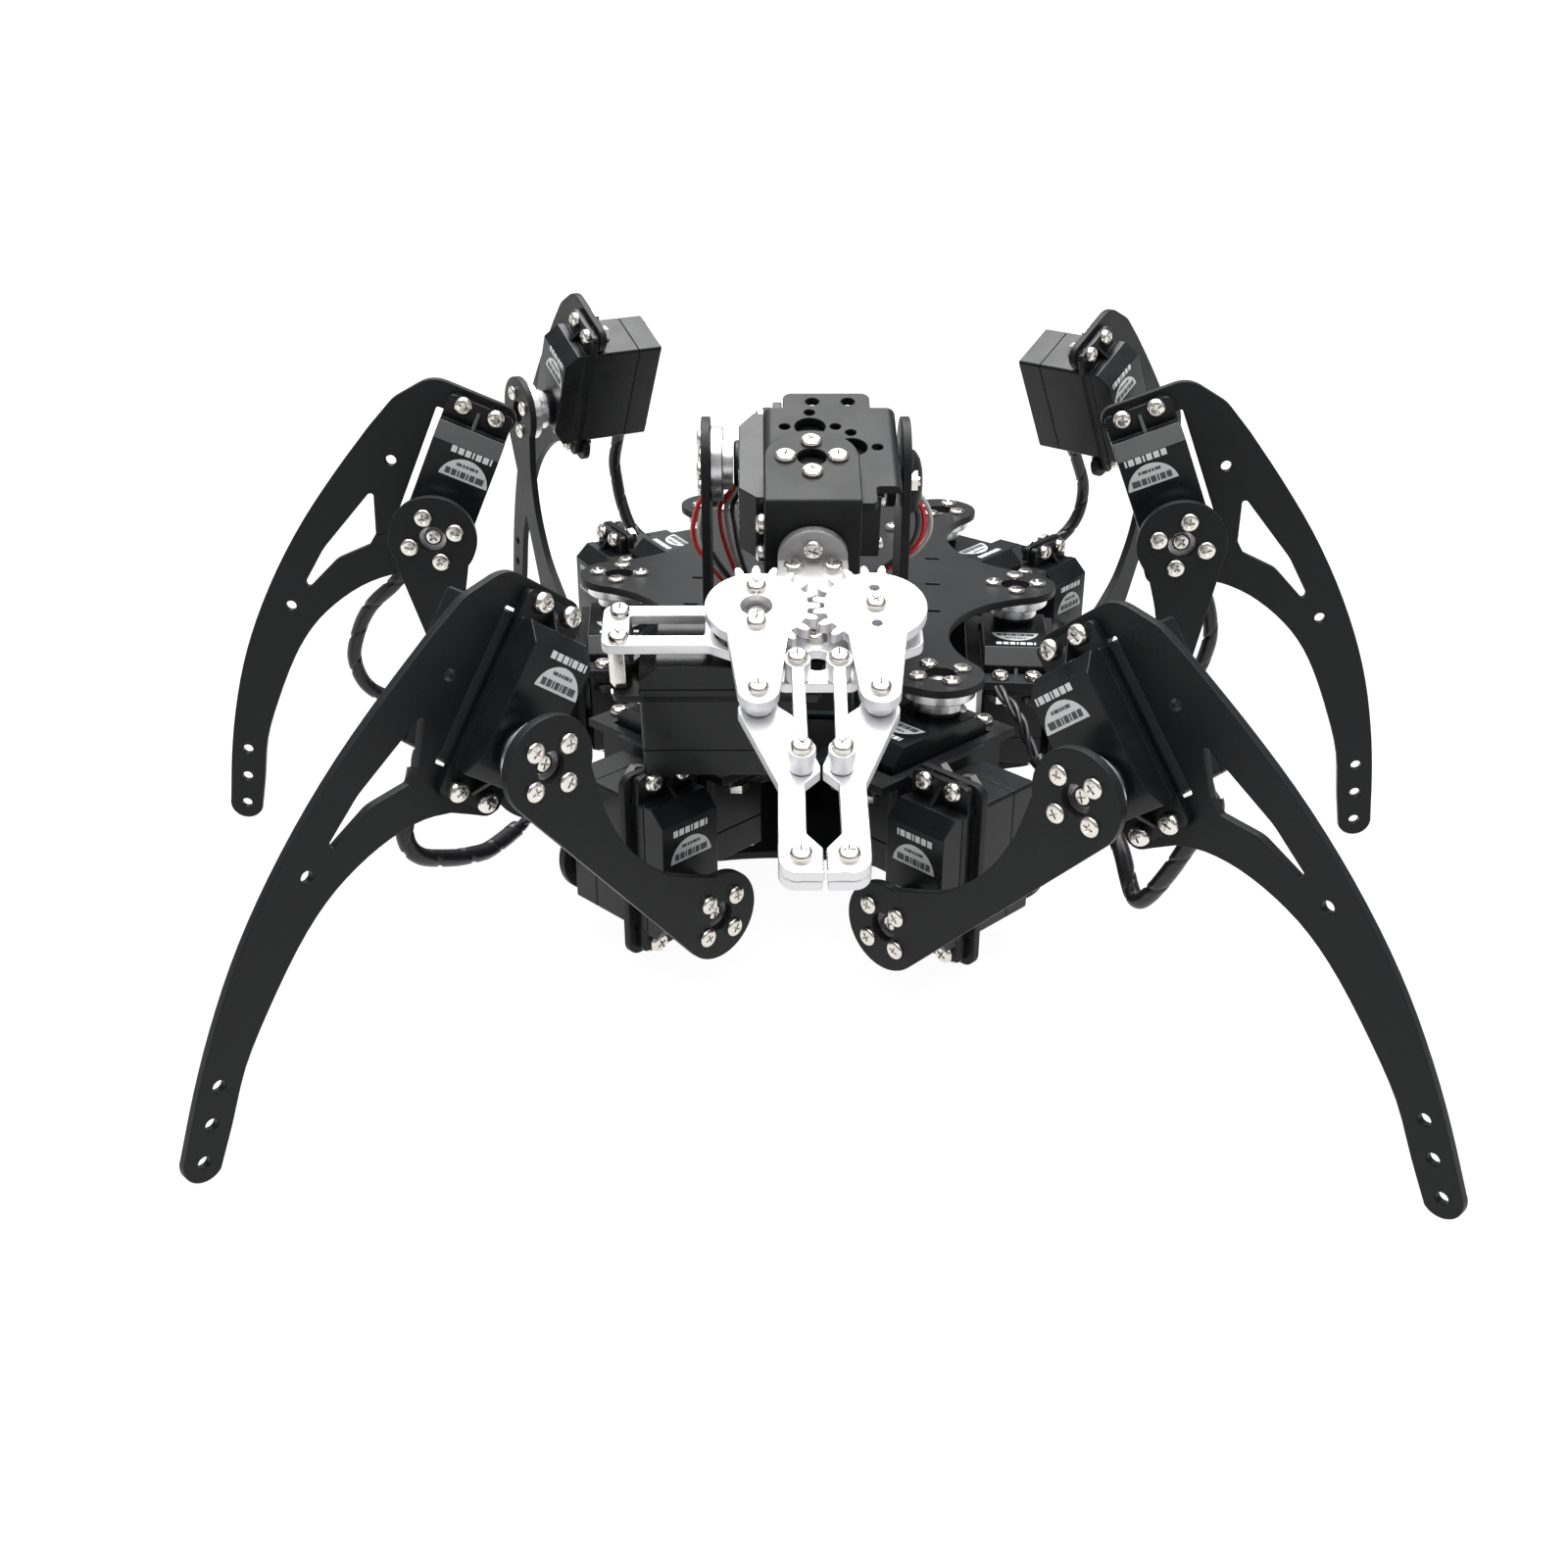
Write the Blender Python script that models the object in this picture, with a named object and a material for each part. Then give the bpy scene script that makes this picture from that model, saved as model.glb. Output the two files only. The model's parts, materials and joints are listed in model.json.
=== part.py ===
"""Six-legged walking robot with a tilting gripper.

Two lobed deck plates carry six legs and an upright bracket. Each leg has a hip servo, a femur
servo and a knee servo; the bracket holds a tilt servo with a two-finger claw. Lengths are in
millimetres and become metres where a mesh is made. The robot faces -Y and stands on Z = 0.
"""

import math

import bmesh
import bpy
from mathutils import Matrix, Vector
from mathutils.geometry import delaunay_2d_cdt

MM = 0.001

# Sheet metal and running gaps
PLATE = 2.5
GAP = 0.3

# Standard servo, in its own frame: shaft along +Z through the origin, ears' back at Z = 0, body along +X
SERVO_SHORT_END = -10.0
SERVO_LONG_END = 30.0
SERVO_HALF_WIDTH = 10.0
SERVO_BELOW_EARS = 26.0
SERVO_CASE_TOP = 12.0
SERVO_BOSS_TOP = 13.5
SERVO_BOSS_RADIUS = 6.5
EAR = 2.5
EAR_REACH = 6.8
EAR_HOLE_REACH = 4.75
EAR_HOLE_SPACING = 10.0

# Horn disc on the servo's shaft, and the pattern of screws in it
HORN_RADIUS = 10.4
HORN_FACE = 21.0
HORN_BASE = SERVO_BOSS_TOP + GAP
HORN_SCREW_CIRCLE = 7.0
LOBE_RADIUS = 12.8

# Decks: lobe centres from the deck's middle, and the radii of the scalloped edges between them
DECK_AT = (3.658, 24.16)
DECK_TOP = 71.5
LOWER_DECK_TOP = 14.4
FRONT_LOBE = (39.4, -76.0)
MID_LOBE = (64.2, 0.0)
REAR_LOBE = (40.5, 77.0)
SIDE_SCALLOP = 36.0
END_SCALLOP = 80.0
POST_RADIUS = 3.2
POSTS = ((24.0, -52.0), (24.0, 52.0))

# Leg: hip axis to femur axis, hip axis to the femur servo's ears, femur and foot sizes
FEMUR_OUT = 27.8
FEMUR_EARS = 28.3
FEMUR_HEIGHT = 21.5
FEMUR_LENGTH = 83.2
FOOT_HOLE = (-116.2, 25.7)
FOOT_RADIUS = 5.2
HIP_EARS = DECK_TOP - PLATE - HORN_FACE

# Rest pose of each leg: side, lobe, hip yaw and femur pitch in degrees. The foot then stands on the floor
LEGS = {
    "front_left": (-1, FRONT_LOBE, -49.6, 49.5),
    "front_right": (1, FRONT_LOBE, -41.6, 45.5),
    "mid_left": (-1, MID_LOBE, -7.7, 73.1),
    "mid_right": (1, MID_LOBE, -0.2, 79.3),
    "rear_left": (-1, REAR_LOBE, 56.0, 67.9),
    "rear_right": (1, REAR_LOBE, 53.3, 63.6),
}

# Each leg's lead from the knee servo to the body, in the leg's frame
LEAD_RADIUS = 2.1
LEG_LEADS = {
    "front_left": [(91.5, -6.6, 66), (95.5, -7.5, 55), (90, -7, 46.5), (70, -3, 38.5), (52, 5, 36),
                   (34, 11, 36), (18, 15, 36), (2, 14, 34)],
    "front_right": [(96.5, -7, 66), (91, -7.5, 55), (82, -6, 38), (74.5, -4, 30.5), (66, 0, 40), (54, 7, 46),
                    (38, 11, 47), (27, 12, 50), (17.5, 15, 59), (6, 19, 63)],
    "mid_left": [(62, -6.3, 82), (72, -4, 71), (83, 1, 59), (89, 4, 42), (84, 8, 28), (68, 12, 23),
                 (48, 13, 28), (30, 12, 34), (16, 15, 36), (2, 14, 34)],
    "mid_right": [(53, -6.3, 83), (60, -6, 70), (63, -3, 56), (60, 3, 40), (50, 9, 33), (34, 12, 34),
                  (18, 15, 36), (2, 14, 34)],
    "rear_left": [(70.5, -6.5, 79), (72.5, -7, 66), (65, -5, 46), (54, 3, 37), (36, 10, 35), (18, 15, 36),
                  (2, 14, 34)],
    "rear_right": [(79, -6.5, 77), (88, -6.5, 60), (84, -5, 46), (70, 0, 38), (50, 7, 35), (34, 11, 36),
                   (18, 15, 36), (2, 14, 34)],
}

# Head: tilt axis from the deck's middle, and its rest angles
HEAD_AXIS = (0.6, -57.6, 126.2)
HEAD_YAW = 5.0
HEAD_TILT = 18.5
HEAD_ARMS = (-27.6, 25.4)
TILT_HORN_FACE = 20.0
HEAD_ARM_RADIUS = 13.0
TILT_BRACKET = (-12.9, 24.0)
TILT_TOP = 12.8
ELBOW_HOLE = 19.4
ELBOW_FRONT = 39.4

# Claw, in the head's frame: gear centres, parallel arm, link pivots, and the two plate levels
GEAR_AT = (15.0, 68.9)
GEAR_TEETH = 20
PRESSURE_ANGLE = 20.0
ARM_VECTOR = (-0.4, 31.4)
LINK_AT = (5.1, 89.3)
CLAW_PLATE = 3.0
LOWER_LEVEL = -4.3
UPPER_LEVEL = 2.2
CLAW_END = 153.6


# ---------------------------------------------------------------- outlines

def arc(centre, radius, start, end, steps):
    """Points of an arc, in degrees, with both its ends."""
    angles = (math.radians(start + (end - start) * i / steps) for i in range(steps + 1))
    return [(centre[0] + radius * math.cos(a), centre[1] + radius * math.sin(a)) for a in angles]


def circle(centre, radius, steps=10):
    return arc(centre, radius, 0, 360, steps)[:-1]


def rounded(corners, steps=3):
    """A closed outline from corners (x, y, radius), with each corner rounded to its radius."""
    points = []
    for i, (x, y, radius) in enumerate(corners):
        here = Vector((x, y))
        before = (Vector(corners[i - 1][:2]) - here).normalized()
        after = (Vector(corners[(i + 1) % len(corners)][:2]) - here).normalized()
        if not radius:
            points.append((x, y))
            continue
        half = before.angle(after) / 2
        middle = here + (before + after).normalized() * radius / math.sin(half)
        start = here + before * radius / math.tan(half) - middle
        turn = start.angle_signed(here + after * radius / math.tan(half) - middle)
        for k in range(steps + 1):
            spoke = Matrix.Rotation(-turn * k / steps, 2) @ start
            points.append(tuple(middle + spoke))
    return points


def tangent_centre(a, b, radius, lobe):
    """Centre of the circle outside lobes a and b that touches both, to the right of the way from a to b."""
    a, b = Vector(a), Vector(b)
    half = (b - a).length / 2
    right = Vector((b.y - a.y, a.x - b.x)).normalized()
    return (a + b) / 2 + right * math.sqrt((radius + lobe) ** 2 - half**2)


def lobed_outline():
    """The deck's edge: six round lobes joined by scalloped arcs, anticlockwise from the front right."""
    right = [FRONT_LOBE, MID_LOBE, REAR_LOBE]
    lobes = right + [(-x, y) for x, y in reversed(right)]
    scallops = [SIDE_SCALLOP, SIDE_SCALLOP, END_SCALLOP] * 2
    centres = [tangent_centre(lobes[i], lobes[(i + 1) % 6], scallops[i], LOBE_RADIUS) for i in range(6)]
    points = []
    for i, lobe in enumerate(lobes):
        here = Vector(lobe)
        into, out = centres[i - 1] - here, centres[i] - here
        start = math.degrees(math.atan2(into.y, into.x))
        end = math.degrees(math.atan2(out.y, out.x))
        points += arc(lobe, LOBE_RADIUS, start, end + 360 * (end < start), 9)
        following = Vector(lobes[(i + 1) % 6])
        first, last = here - centres[i], following - centres[i]
        a = math.degrees(math.atan2(first.y, first.x))
        b = math.degrees(math.atan2(last.y, last.x))
        points += arc(centres[i], scallops[i], a, b - 360 * (b > a), 9)[1:-1]
    return points


# ---------------------------------------------------------------- solids

def mesh_from(build):
    """A mesh from what build adds to an empty bmesh, in millimetres."""
    shape = bmesh.new()
    build(shape)
    bmesh.ops.scale(shape, vec=(MM, MM, MM), verts=shape.verts)
    bmesh.ops.recalc_face_normals(shape, faces=shape.faces)
    mesh = bpy.data.meshes.new("solid")
    shape.to_mesh(mesh)
    shape.free()
    return mesh


def box(low, high):
    low, high = Vector(low), Vector(high)
    place = Matrix.Translation((low + high) / 2) @ Matrix.Diagonal((*(high - low), 1))
    return mesh_from(lambda shape: bmesh.ops.create_cube(shape, size=1, matrix=place))


def drum(radius, bottom, top, centre=(0, 0), segments=16):
    place = Matrix.Translation((*centre, (bottom + top) / 2))
    return mesh_from(lambda shape: bmesh.ops.create_cone(
        shape, cap_ends=True, segments=segments, radius1=radius, radius2=radius,
        depth=top - bottom, matrix=place))


def temporary(mesh):
    holder = bpy.data.objects.new("temporary", mesh)
    bpy.context.scene.collection.objects.link(holder)
    return holder


def baked(holder):
    """The evaluated mesh of an object, which is then removed."""
    graph = bpy.context.evaluated_depsgraph_get()
    mesh = bpy.data.meshes.new_from_object(holder.evaluated_get(graph))
    bpy.data.objects.remove(holder)
    return mesh


def encloses(loops, point):
    """Whether a point is inside the outline and outside its holes."""
    crossings = 0
    for loop in loops:
        for (ax, ay), (bx, by) in zip(loop, loop[1:] + loop[:1]):
            if (ay > point.y) != (by > point.y) and point.x < ax + (bx - ax) * (point.y - ay) / (by - ay):
                crossings += 1
    return crossings % 2 == 1


def prism(outline, bottom, top, holes=()):
    """A flat outline with holes, filled and extruded from bottom to top.

    A filled curve would leave zero-width triangles along straight rims, and those break a Boolean.
    """
    loops = [list(outline), *map(list, holes)]
    corners, rims = [], []
    for loop in loops:
        first, count = len(corners), len(loop)
        corners += [Vector(point) for point in loop]
        rims += [(first + i, first + (i + 1) % count) for i in range(count)]
    corners, _, faces = delaunay_2d_cdt(corners, rims, [], 1, 1e-4)[:3]
    faces = [face for face in faces if encloses(loops, sum((corners[i] for i in face), Vector((0, 0))) / 3)]

    def build(shape):
        low = [shape.verts.new((*corner, bottom)) for corner in corners]
        high = [shape.verts.new((*corner, top)) for corner in corners]
        used = set()
        for face in faces:
            shape.faces.new([high[i] for i in face])
            shape.faces.new([low[i] for i in reversed(face)])
            for a, b in zip(face, face[1:] + face[:1]):
                used.add((a, b))
        for a, b in used:
            if (b, a) not in used:
                shape.faces.new((low[a], low[b], high[b], high[a]))
        bmesh.ops.delete(shape, geom=[vert for vert in shape.verts if not vert.link_faces], context="VERTS")

    return mesh_from(build)


def combined(operation, first, others):
    holder = temporary(first)
    tools = [temporary(other) for other in others]
    for tool in tools:
        step = holder.modifiers.new(operation, "BOOLEAN")
        step.operation = operation
        step.solver = "EXACT"
        step.object = tool
    mesh = baked(holder)
    for tool in tools:
        bpy.data.objects.remove(tool)
    return mesh


def union(first, *others):
    return combined("UNION", first, others)


def difference(first, *others):
    return combined("DIFFERENCE", first, others)


def moved(mesh, matrix):
    """The mesh itself, turned and shifted by a matrix whose shift is in millimetres."""
    scaled = matrix.copy()
    scaled.translation = matrix.translation * MM
    mesh.transform(scaled)
    if matrix.determinant() < 0:
        mesh.flip_normals()
    return mesh


def axes(x, y, z, origin=(0, 0, 0)):
    """The matrix whose columns are the given axes and origin, in millimetres."""
    matrix = Matrix((x, y, z)).transposed().to_4x4()
    matrix.translation = Vector(origin)
    return matrix


# Sheets drawn in a plane: UPRIGHT_X lies across X, drawn as (y, z), and UPRIGHT_Y across Y, drawn as (x, z)
UPRIGHT_X = axes((0, 1, 0), (0, 0, 1), (1, 0, 0))
UPRIGHT_Y = axes((1, 0, 0), (0, 0, 1), (0, -1, 0))
MIRROR_X = Matrix.Diagonal((-1, 1, 1, 1))


# ---------------------------------------------------------------- sub-parts

def servo_mesh():
    """Case and ears as one side profile, with the shaft's boss on top."""
    short, long = SERVO_SHORT_END, SERVO_LONG_END
    shoulder = 4.5
    profile = [
        (short, -SERVO_BELOW_EARS), (long, -SERVO_BELOW_EARS), (long, 0), (long + EAR_REACH, 0),
        (long + EAR_REACH, EAR), (long, EAR), (long, SERVO_CASE_TOP - shoulder),
        (long - shoulder, SERVO_CASE_TOP), (short, SERVO_CASE_TOP), (short, EAR),
        (short - EAR_REACH, EAR), (short - EAR_REACH, 0), (short, 0),
    ]
    case = moved(prism(profile, -SERVO_HALF_WIDTH, SERVO_HALF_WIDTH), UPRIGHT_Y)
    return union(case, drum(SERVO_BOSS_RADIUS, SERVO_CASE_TOP - 1, SERVO_BOSS_TOP))


def horn(top=HORN_FACE):
    """The metal disc on a servo's shaft, let a little into the plate that it drives."""
    return drum(HORN_RADIUS, HORN_BASE, top + 0.1, segments=20)


def upper_deck_mesh():
    """The top plate, with a hole and a horn disc at each lobe, and slots along both sides."""
    lobes = [(side * x, y) for x, y in (FRONT_LOBE, MID_LOBE, REAR_LOBE) for side in (1, -1)]
    slots = [[(x - 2.4, y - 0.9), (x + 2.4, y - 0.9), (x + 2.4, y + 0.9), (x - 2.4, y + 0.9)]
             for x in (-37.6, 37.6) for y in (-26.6, -2.3, 22.5)]
    holes = [circle(lobe, 4.5) for lobe in lobes] + slots
    plate = prism(lobed_outline(), DECK_TOP - PLATE, DECK_TOP, holes)
    discs = [difference(drum(HORN_RADIUS, HIP_EARS + HORN_BASE, DECK_TOP - PLATE + 0.1, lobe, 20),
                        drum(4.5, HIP_EARS + HORN_BASE + 4, DECK_TOP, lobe, 10)) for lobe in lobes]
    return union(plate, *discs)


def lower_deck_mesh():
    """The bottom plate with the posts that carry the top plate."""
    lobes = [(side * x, y) for x, y in (FRONT_LOBE, MID_LOBE, REAR_LOBE) for side in (1, -1)]
    holes = [circle(lobe, 2.0, 8) for lobe in lobes]
    plate = prism(lobed_outline(), LOWER_DECK_TOP - PLATE, LOWER_DECK_TOP, holes)
    posts = [drum(POST_RADIUS, LOWER_DECK_TOP - 0.1, DECK_TOP - PLATE - GAP, (side * x, y), 8)
             for x, y in POSTS for side in (1, -1)]
    return union(plate, *posts)


def hip_bracket_mesh():
    """Two servo brackets back to back, in the leg's frame: X outwards, Y away from the femur plate."""
    left, seam, right = 11.4, 13.9, 16.4
    flange = HIP_EARS + EAR + GAP
    floor = HIP_EARS - 31.4
    reach = 10.6
    window = [(-reach, -31), (reach, -31), (reach, 11), (-reach, 11)]
    hip_top = prism(rounded([(-15, -38.5, 4), (seam, -38.5, 0), (seam, 18.5, 0), (-15, 18.5, 4)]),
                    flange, flange + PLATE, [window])
    hip_base = box((left, -32, floor), (seam, 12, flange + PLATE))
    bottom = arc((0, 0), 12, 90, 270, 8) + [(seam, -12), (seam, 12)]
    hip_floor = prism(bottom, floor, floor + PLATE, [circle((0, 0), 2.2, 8)])
    inner, outer = FEMUR_OUT - reach, FEMUR_OUT + reach
    low, high = FEMUR_HEIGHT + SERVO_SHORT_END, FEMUR_HEIGHT + SERVO_LONG_END
    face = rounded([
        (seam, low - 2, 0), (inner, low - 2, 0), (inner, low - 8.2, 0), (outer + 1.8, low - 8.2, 3.5),
        (outer + 1.8, high + 7.2, 3.5), (inner, high + 7.2, 2), (inner, high + 2, 0), (seam, high + 2, 0)])
    opening = [(inner, low - 0.6), (outer, low - 0.6), (outer, high + 0.6), (inner, high + 0.6)]
    front = moved(prism(face, FEMUR_EARS - GAP - PLATE, FEMUR_EARS - GAP, [opening]), UPRIGHT_Y)
    half_round = arc((FEMUR_OUT, FEMUR_HEIGHT), 12, -90, 90, 8)
    tail = [(seam, FEMUR_HEIGHT - 12)] + half_round + [(seam, FEMUR_HEIGHT + 12)]
    rear = moved(prism(tail, -PLATE - 0.3, -0.3, [circle((FEMUR_OUT, FEMUR_HEIGHT), 2.2, 8)]), UPRIGHT_Y)
    femur_base = box((seam - 0.1, GAP - FEMUR_EARS, FEMUR_HEIGHT - 12), (right, PLATE + 0.3, high + 2))
    return union(hip_base, hip_top, hip_floor, femur_base, front, rear)


def femur_plate_mesh():
    """Waisted bar with a horn disc under each end, in the femur servo's frame with X along the bar."""
    radius, length = LOBE_RADIUS, FEMUR_LENGTH
    waist = 2.4
    dip = [(length - 24, 0.6), (length / 2 + 4, -waist), (length / 2 - 9, -waist + 0.5), (24, 0.4)]
    outline = arc((0, 0), radius, 32, 270, 12) + arc((length, 0), radius, -90, 148, 12) + dip
    ends = ((0, 0), (length, 0))
    holes = [circle(end, 3.9) for end in ends]
    bar = prism(outline, HORN_FACE, HORN_FACE + PLATE, holes)
    discs = [difference(moved(horn(), Matrix.Translation((*end, 0))),
                        drum(3.9, HORN_BASE + 4, HORN_FACE + 1, end, 10)) for end in ends]
    return union(bar, *discs)


def shin_outline():
    """The curved leg plate in the knee servo's frame, drawn as (outwards, up) from the knee axis."""
    foot_x, foot_y = FOOT_HOLE[1], FOOT_HOLE[0]
    hook = [(-6.0, -19.2, 0), (-13.2, -18.0, 4.2), (-12.0, -10.8, 1.5), (12.2, -10.8, 0.8),
            (12.2, 30.8, 0.8), (-9.6, 30.8, 1.5), (-12.4, 38.8, 4.0), (16.4, 38.8, 9.0), (24.8, 28.0, 12.0)]
    outer = [(28.6, 17.0), (33.4, 0.0), (37.6, -18.0), (40.2, -36.0), (41.2, -54.0), (40.6, -70.0),
             (38.4, -86.0), (35.2, -101.0)]
    foot = arc((foot_x, foot_y), FOOT_RADIUS, -8, -172, 6)
    inner = [(23.0, -105.5), (26.2, -92.0), (27.0, -78.0), (26.6, -62.0), (24.6, -50.0), (20.6, -40.0),
             (14.8, -31.0), (8.0, -24.4), (1.0, -20.6)]
    return rounded(hook + [(x, y, 0) for x, y in outer + foot + inner])


def shin_plate_mesh():
    """The curved leg plate: a hook round the servo, a three-sided cut-out and a foot with three holes."""
    cut_out = [(20.9, -2.9), (20.0, -5.2), (18.0, -10.6), (16.4, -16.6), (20.2, -19.8), (24.4, -25.6),
               (27.6, -31.6), (29.2, -36.9), (30.6, -36.6), (30.4, -31.0), (29.2, -24.0), (27.2, -16.6),
               (24.8, -9.4), (22.6, -3.6), (21.8, -2.6)]
    foot_x, foot_y = FOOT_HOLE[1], FOOT_HOLE[0]
    small = [(19.3, 10.0), (32.7, -45.5)] + [(foot_x + 2.6 * i, foot_y + 9.3 * i) for i in range(3)]
    flat = prism(shin_outline(), -PLATE - GAP, -GAP, [cut_out] + [circle(at, 1.6, 8) for at in small])
    return moved(flat, axes((0, -1, 0), (1, 0, 0), (0, 0, 1)))


def gear_outline(centre, first_tooth, first, last, arm_end, arm_half):
    """Half gear and arm: teeth from first to last degrees round the centre, then the plain side and arm."""
    pitch = GEAR_AT[0]
    base = pitch * math.cos(math.radians(PRESSURE_ANGLE))

    def involute(radius):
        angle = math.acos(min(1.0, base / radius))
        return math.tan(angle) - angle

    half_at_pitch = math.pi / 2 / GEAR_TEETH - math.radians(0.7)

    def flank(radius):
        return math.degrees(half_at_pitch + involute(pitch) - involute(max(radius, base)))

    radii = (pitch - 1.9, base, pitch, pitch + 1.1)
    points = []
    step = 360 / GEAR_TEETH
    tooth = first_tooth
    while tooth < last:
        if tooth > first:
            points += [polar(centre, r, tooth - flank(r)) for r in radii]
            points += [polar(centre, r, tooth + flank(r)) for r in reversed(radii)]
        tooth += step
    return points + arm_outline(centre, arm_end, arm_half)


def polar(centre, radius, angle):
    turn = math.radians(angle)
    return centre[0] + radius * math.cos(turn), centre[1] + radius * math.sin(turn)


def arm_outline(centre, end, half):
    """The smooth disc from the rear round the outside, and the arm to its rounded end."""
    disc = arc(centre, 13.0, 112, 236, 8)
    tip = arc(end, half, 180, 360, 6)
    neck = [(centre[0] + 7.4, centre[1] - 11.4)]
    return disc + tip + neck


def claw_arm_mesh(driven):
    """A gear arm for the left side, drawn with Y to the rear; the right one is its mirror, offset."""
    centre, end = (0.0, 0.0), (-ARM_VECTOR[0], -ARM_VECTOR[1])
    shift = 0.0 if driven else 180 / GEAR_TEETH
    outline = gear_outline(centre, -54.0 + shift, -60, 112, end, 5.1)
    side = [circle((0, HORN_SCREW_CIRCLE), 1.3, 6), circle((0, -HORN_SCREW_CIRCLE), 1.3, 6)]
    if driven:
        plate = prism(outline, UPPER_LEVEL, UPPER_LEVEL + CLAW_PLATE, [circle(centre, 4.0)] + side)
        hub = drum(HORN_RADIUS, UPPER_LEVEL - HORN_FACE + HORN_BASE, UPPER_LEVEL + 0.1, segments=20)
        hub = difference(hub, drum(4.0, UPPER_LEVEL - 3, UPPER_LEVEL + 1, segments=10))
    else:
        plate = prism(outline, UPPER_LEVEL, UPPER_LEVEL + CLAW_PLATE, side)
        hub = drum(4.0, LOWER_LEVEL + CLAW_PLATE + GAP, UPPER_LEVEL + 0.1, segments=12)
    spacer = drum(3.4, LOWER_LEVEL + CLAW_PLATE + GAP, UPPER_LEVEL + 0.1, end, 12)
    arm = union(plate, hub, spacer)
    return arm if driven else moved(arm, MIRROR_X)


def claw_link_mesh():
    """Slim bar between two round ends, each on a spacer."""
    end = (-ARM_VECTOR[0], -ARM_VECTOR[1])
    lean = math.degrees(math.atan2(end[1], end[0]))
    narrow = 28
    outline = (arc((0, 0), 3.3, lean + narrow, lean + 360 - narrow, 10)
               + arc(end, 3.3, lean + 180 + narrow, lean + 540 - narrow, 10))
    bar = prism(outline, UPPER_LEVEL, UPPER_LEVEL + CLAW_PLATE)
    spacers = [drum(3.0, LOWER_LEVEL + CLAW_PLATE + GAP, UPPER_LEVEL + 0.1, at, 12) for at in ((0, 0), end)]
    return union(bar, *spacers)


def finger_outline():
    """The left finger from above, drawn with Y to the rear and X = 0 on the claw's middle line."""
    shoulder = (-GEAR_AT[0] - ARM_VECTOR[0], -GEAR_AT[1] - ARM_VECTOR[1])
    half = 5.0
    teeth = []
    for i in range(6):
        y = -CLAW_END + 0.8 + i * 1.15
        teeth += [(-0.25, y), (-0.85, y + 0.58)]
    return (arc(shoulder, half, 10, 196, 7) + [(-10.2, -125.9), (-10.4, -147.9)]
            + arc((-6.0, -149.3), 4.3, 180, 285, 4) + [(-0.25, -CLAW_END)] + teeth
            + [(-0.25, -146.2), (-4.0, -141.5), (-3.9, -125.7), (-0.3, -121.9), (-0.3, -119.7),
               (-3.2, -111.6), (-6.4, -102.5)])


def finger_mesh():
    """A finger plate with a second pad under its tip, about the pivot at its shoulder."""
    plate = prism(finger_outline(), LOWER_LEVEL, LOWER_LEVEL + CLAW_PLATE)
    under = rounded([(-10.4, -140.8, 1), (-10.4, -CLAW_END, 4), (-0.6, -CLAW_END, 0.6), (-0.6, -144.8, 1),
                     (-4.6, -140.8, 1)])
    pad = prism(under, LOWER_LEVEL - 3.0, LOWER_LEVEL + 0.1)
    shoulder = Vector((-GEAR_AT[0] - ARM_VECTOR[0], -GEAR_AT[1] - ARM_VECTOR[1], 0))
    return moved(union(plate, pad), Matrix.Translation(-shoulder))


def claw_base_mesh():
    """Half-round flange, base plate with the slotted servo frame, and the two posts to the servo's ears."""
    gear_x, gear_y = GEAR_AT
    start = -ELBOW_FRONT - GAP
    frame_rear, frame_front = -gear_y + 7.9, -gear_y - 7.9
    side = [(9.3, start, 0), (9.3, frame_rear + 7, 3), (27.0, frame_rear, 3), (27.0, frame_front, 3),
            (12.0, frame_front - 7.5, 3), (9.6, frame_front - 14.6, 2.5)]
    arm = [(-27.0, frame_rear, 3), (-54.0, frame_rear, 2.5), (-54.0, frame_front, 2.5),
           (-27.0, frame_front, 3)]
    other = [(-x, y, r) for x, y, r in side]
    outline = rounded(side[::-1] + other[:2] + arm + other[4:])
    slot = rounded([(-47.2, -gear_y + 3.9, 0.8), (-47.2, -gear_y - 3.9, 0.8), (-28.0, -gear_y - 3.9, 0.8),
                    (-28.0, -gear_y + 3.9, 0.8)])
    openings = [slot, circle((-gear_x, -gear_y), HORN_RADIUS + 0.8, 20), circle((0, -gear_y - 4.8), 2.0),
                circle((0, -gear_y - 13.6), 3.8, 16)]
    floor = prism(outline, LOWER_LEVEL, LOWER_LEVEL + CLAW_PLATE, openings)
    dome = [(-9.3, LOWER_LEVEL), (9.3, LOWER_LEVEL)] + arc((0, LOWER_LEVEL + CLAW_PLATE), 9.3, 0, 180, 12)
    flange = moved(prism(dome, -start, -start + PLATE), UPRIGHT_Y)
    ears = UPPER_LEVEL - HORN_FACE + EAR
    ear_x = -gear_x - SERVO_LONG_END - EAR_HOLE_REACH
    posts = [drum(2.9, ears + GAP, LOWER_LEVEL + 0.1, (ear_x, -gear_y + side * EAR_HOLE_SPACING / 2), 10)
             for side in (1, -1)]
    return union(floor, flange, *posts)


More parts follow.
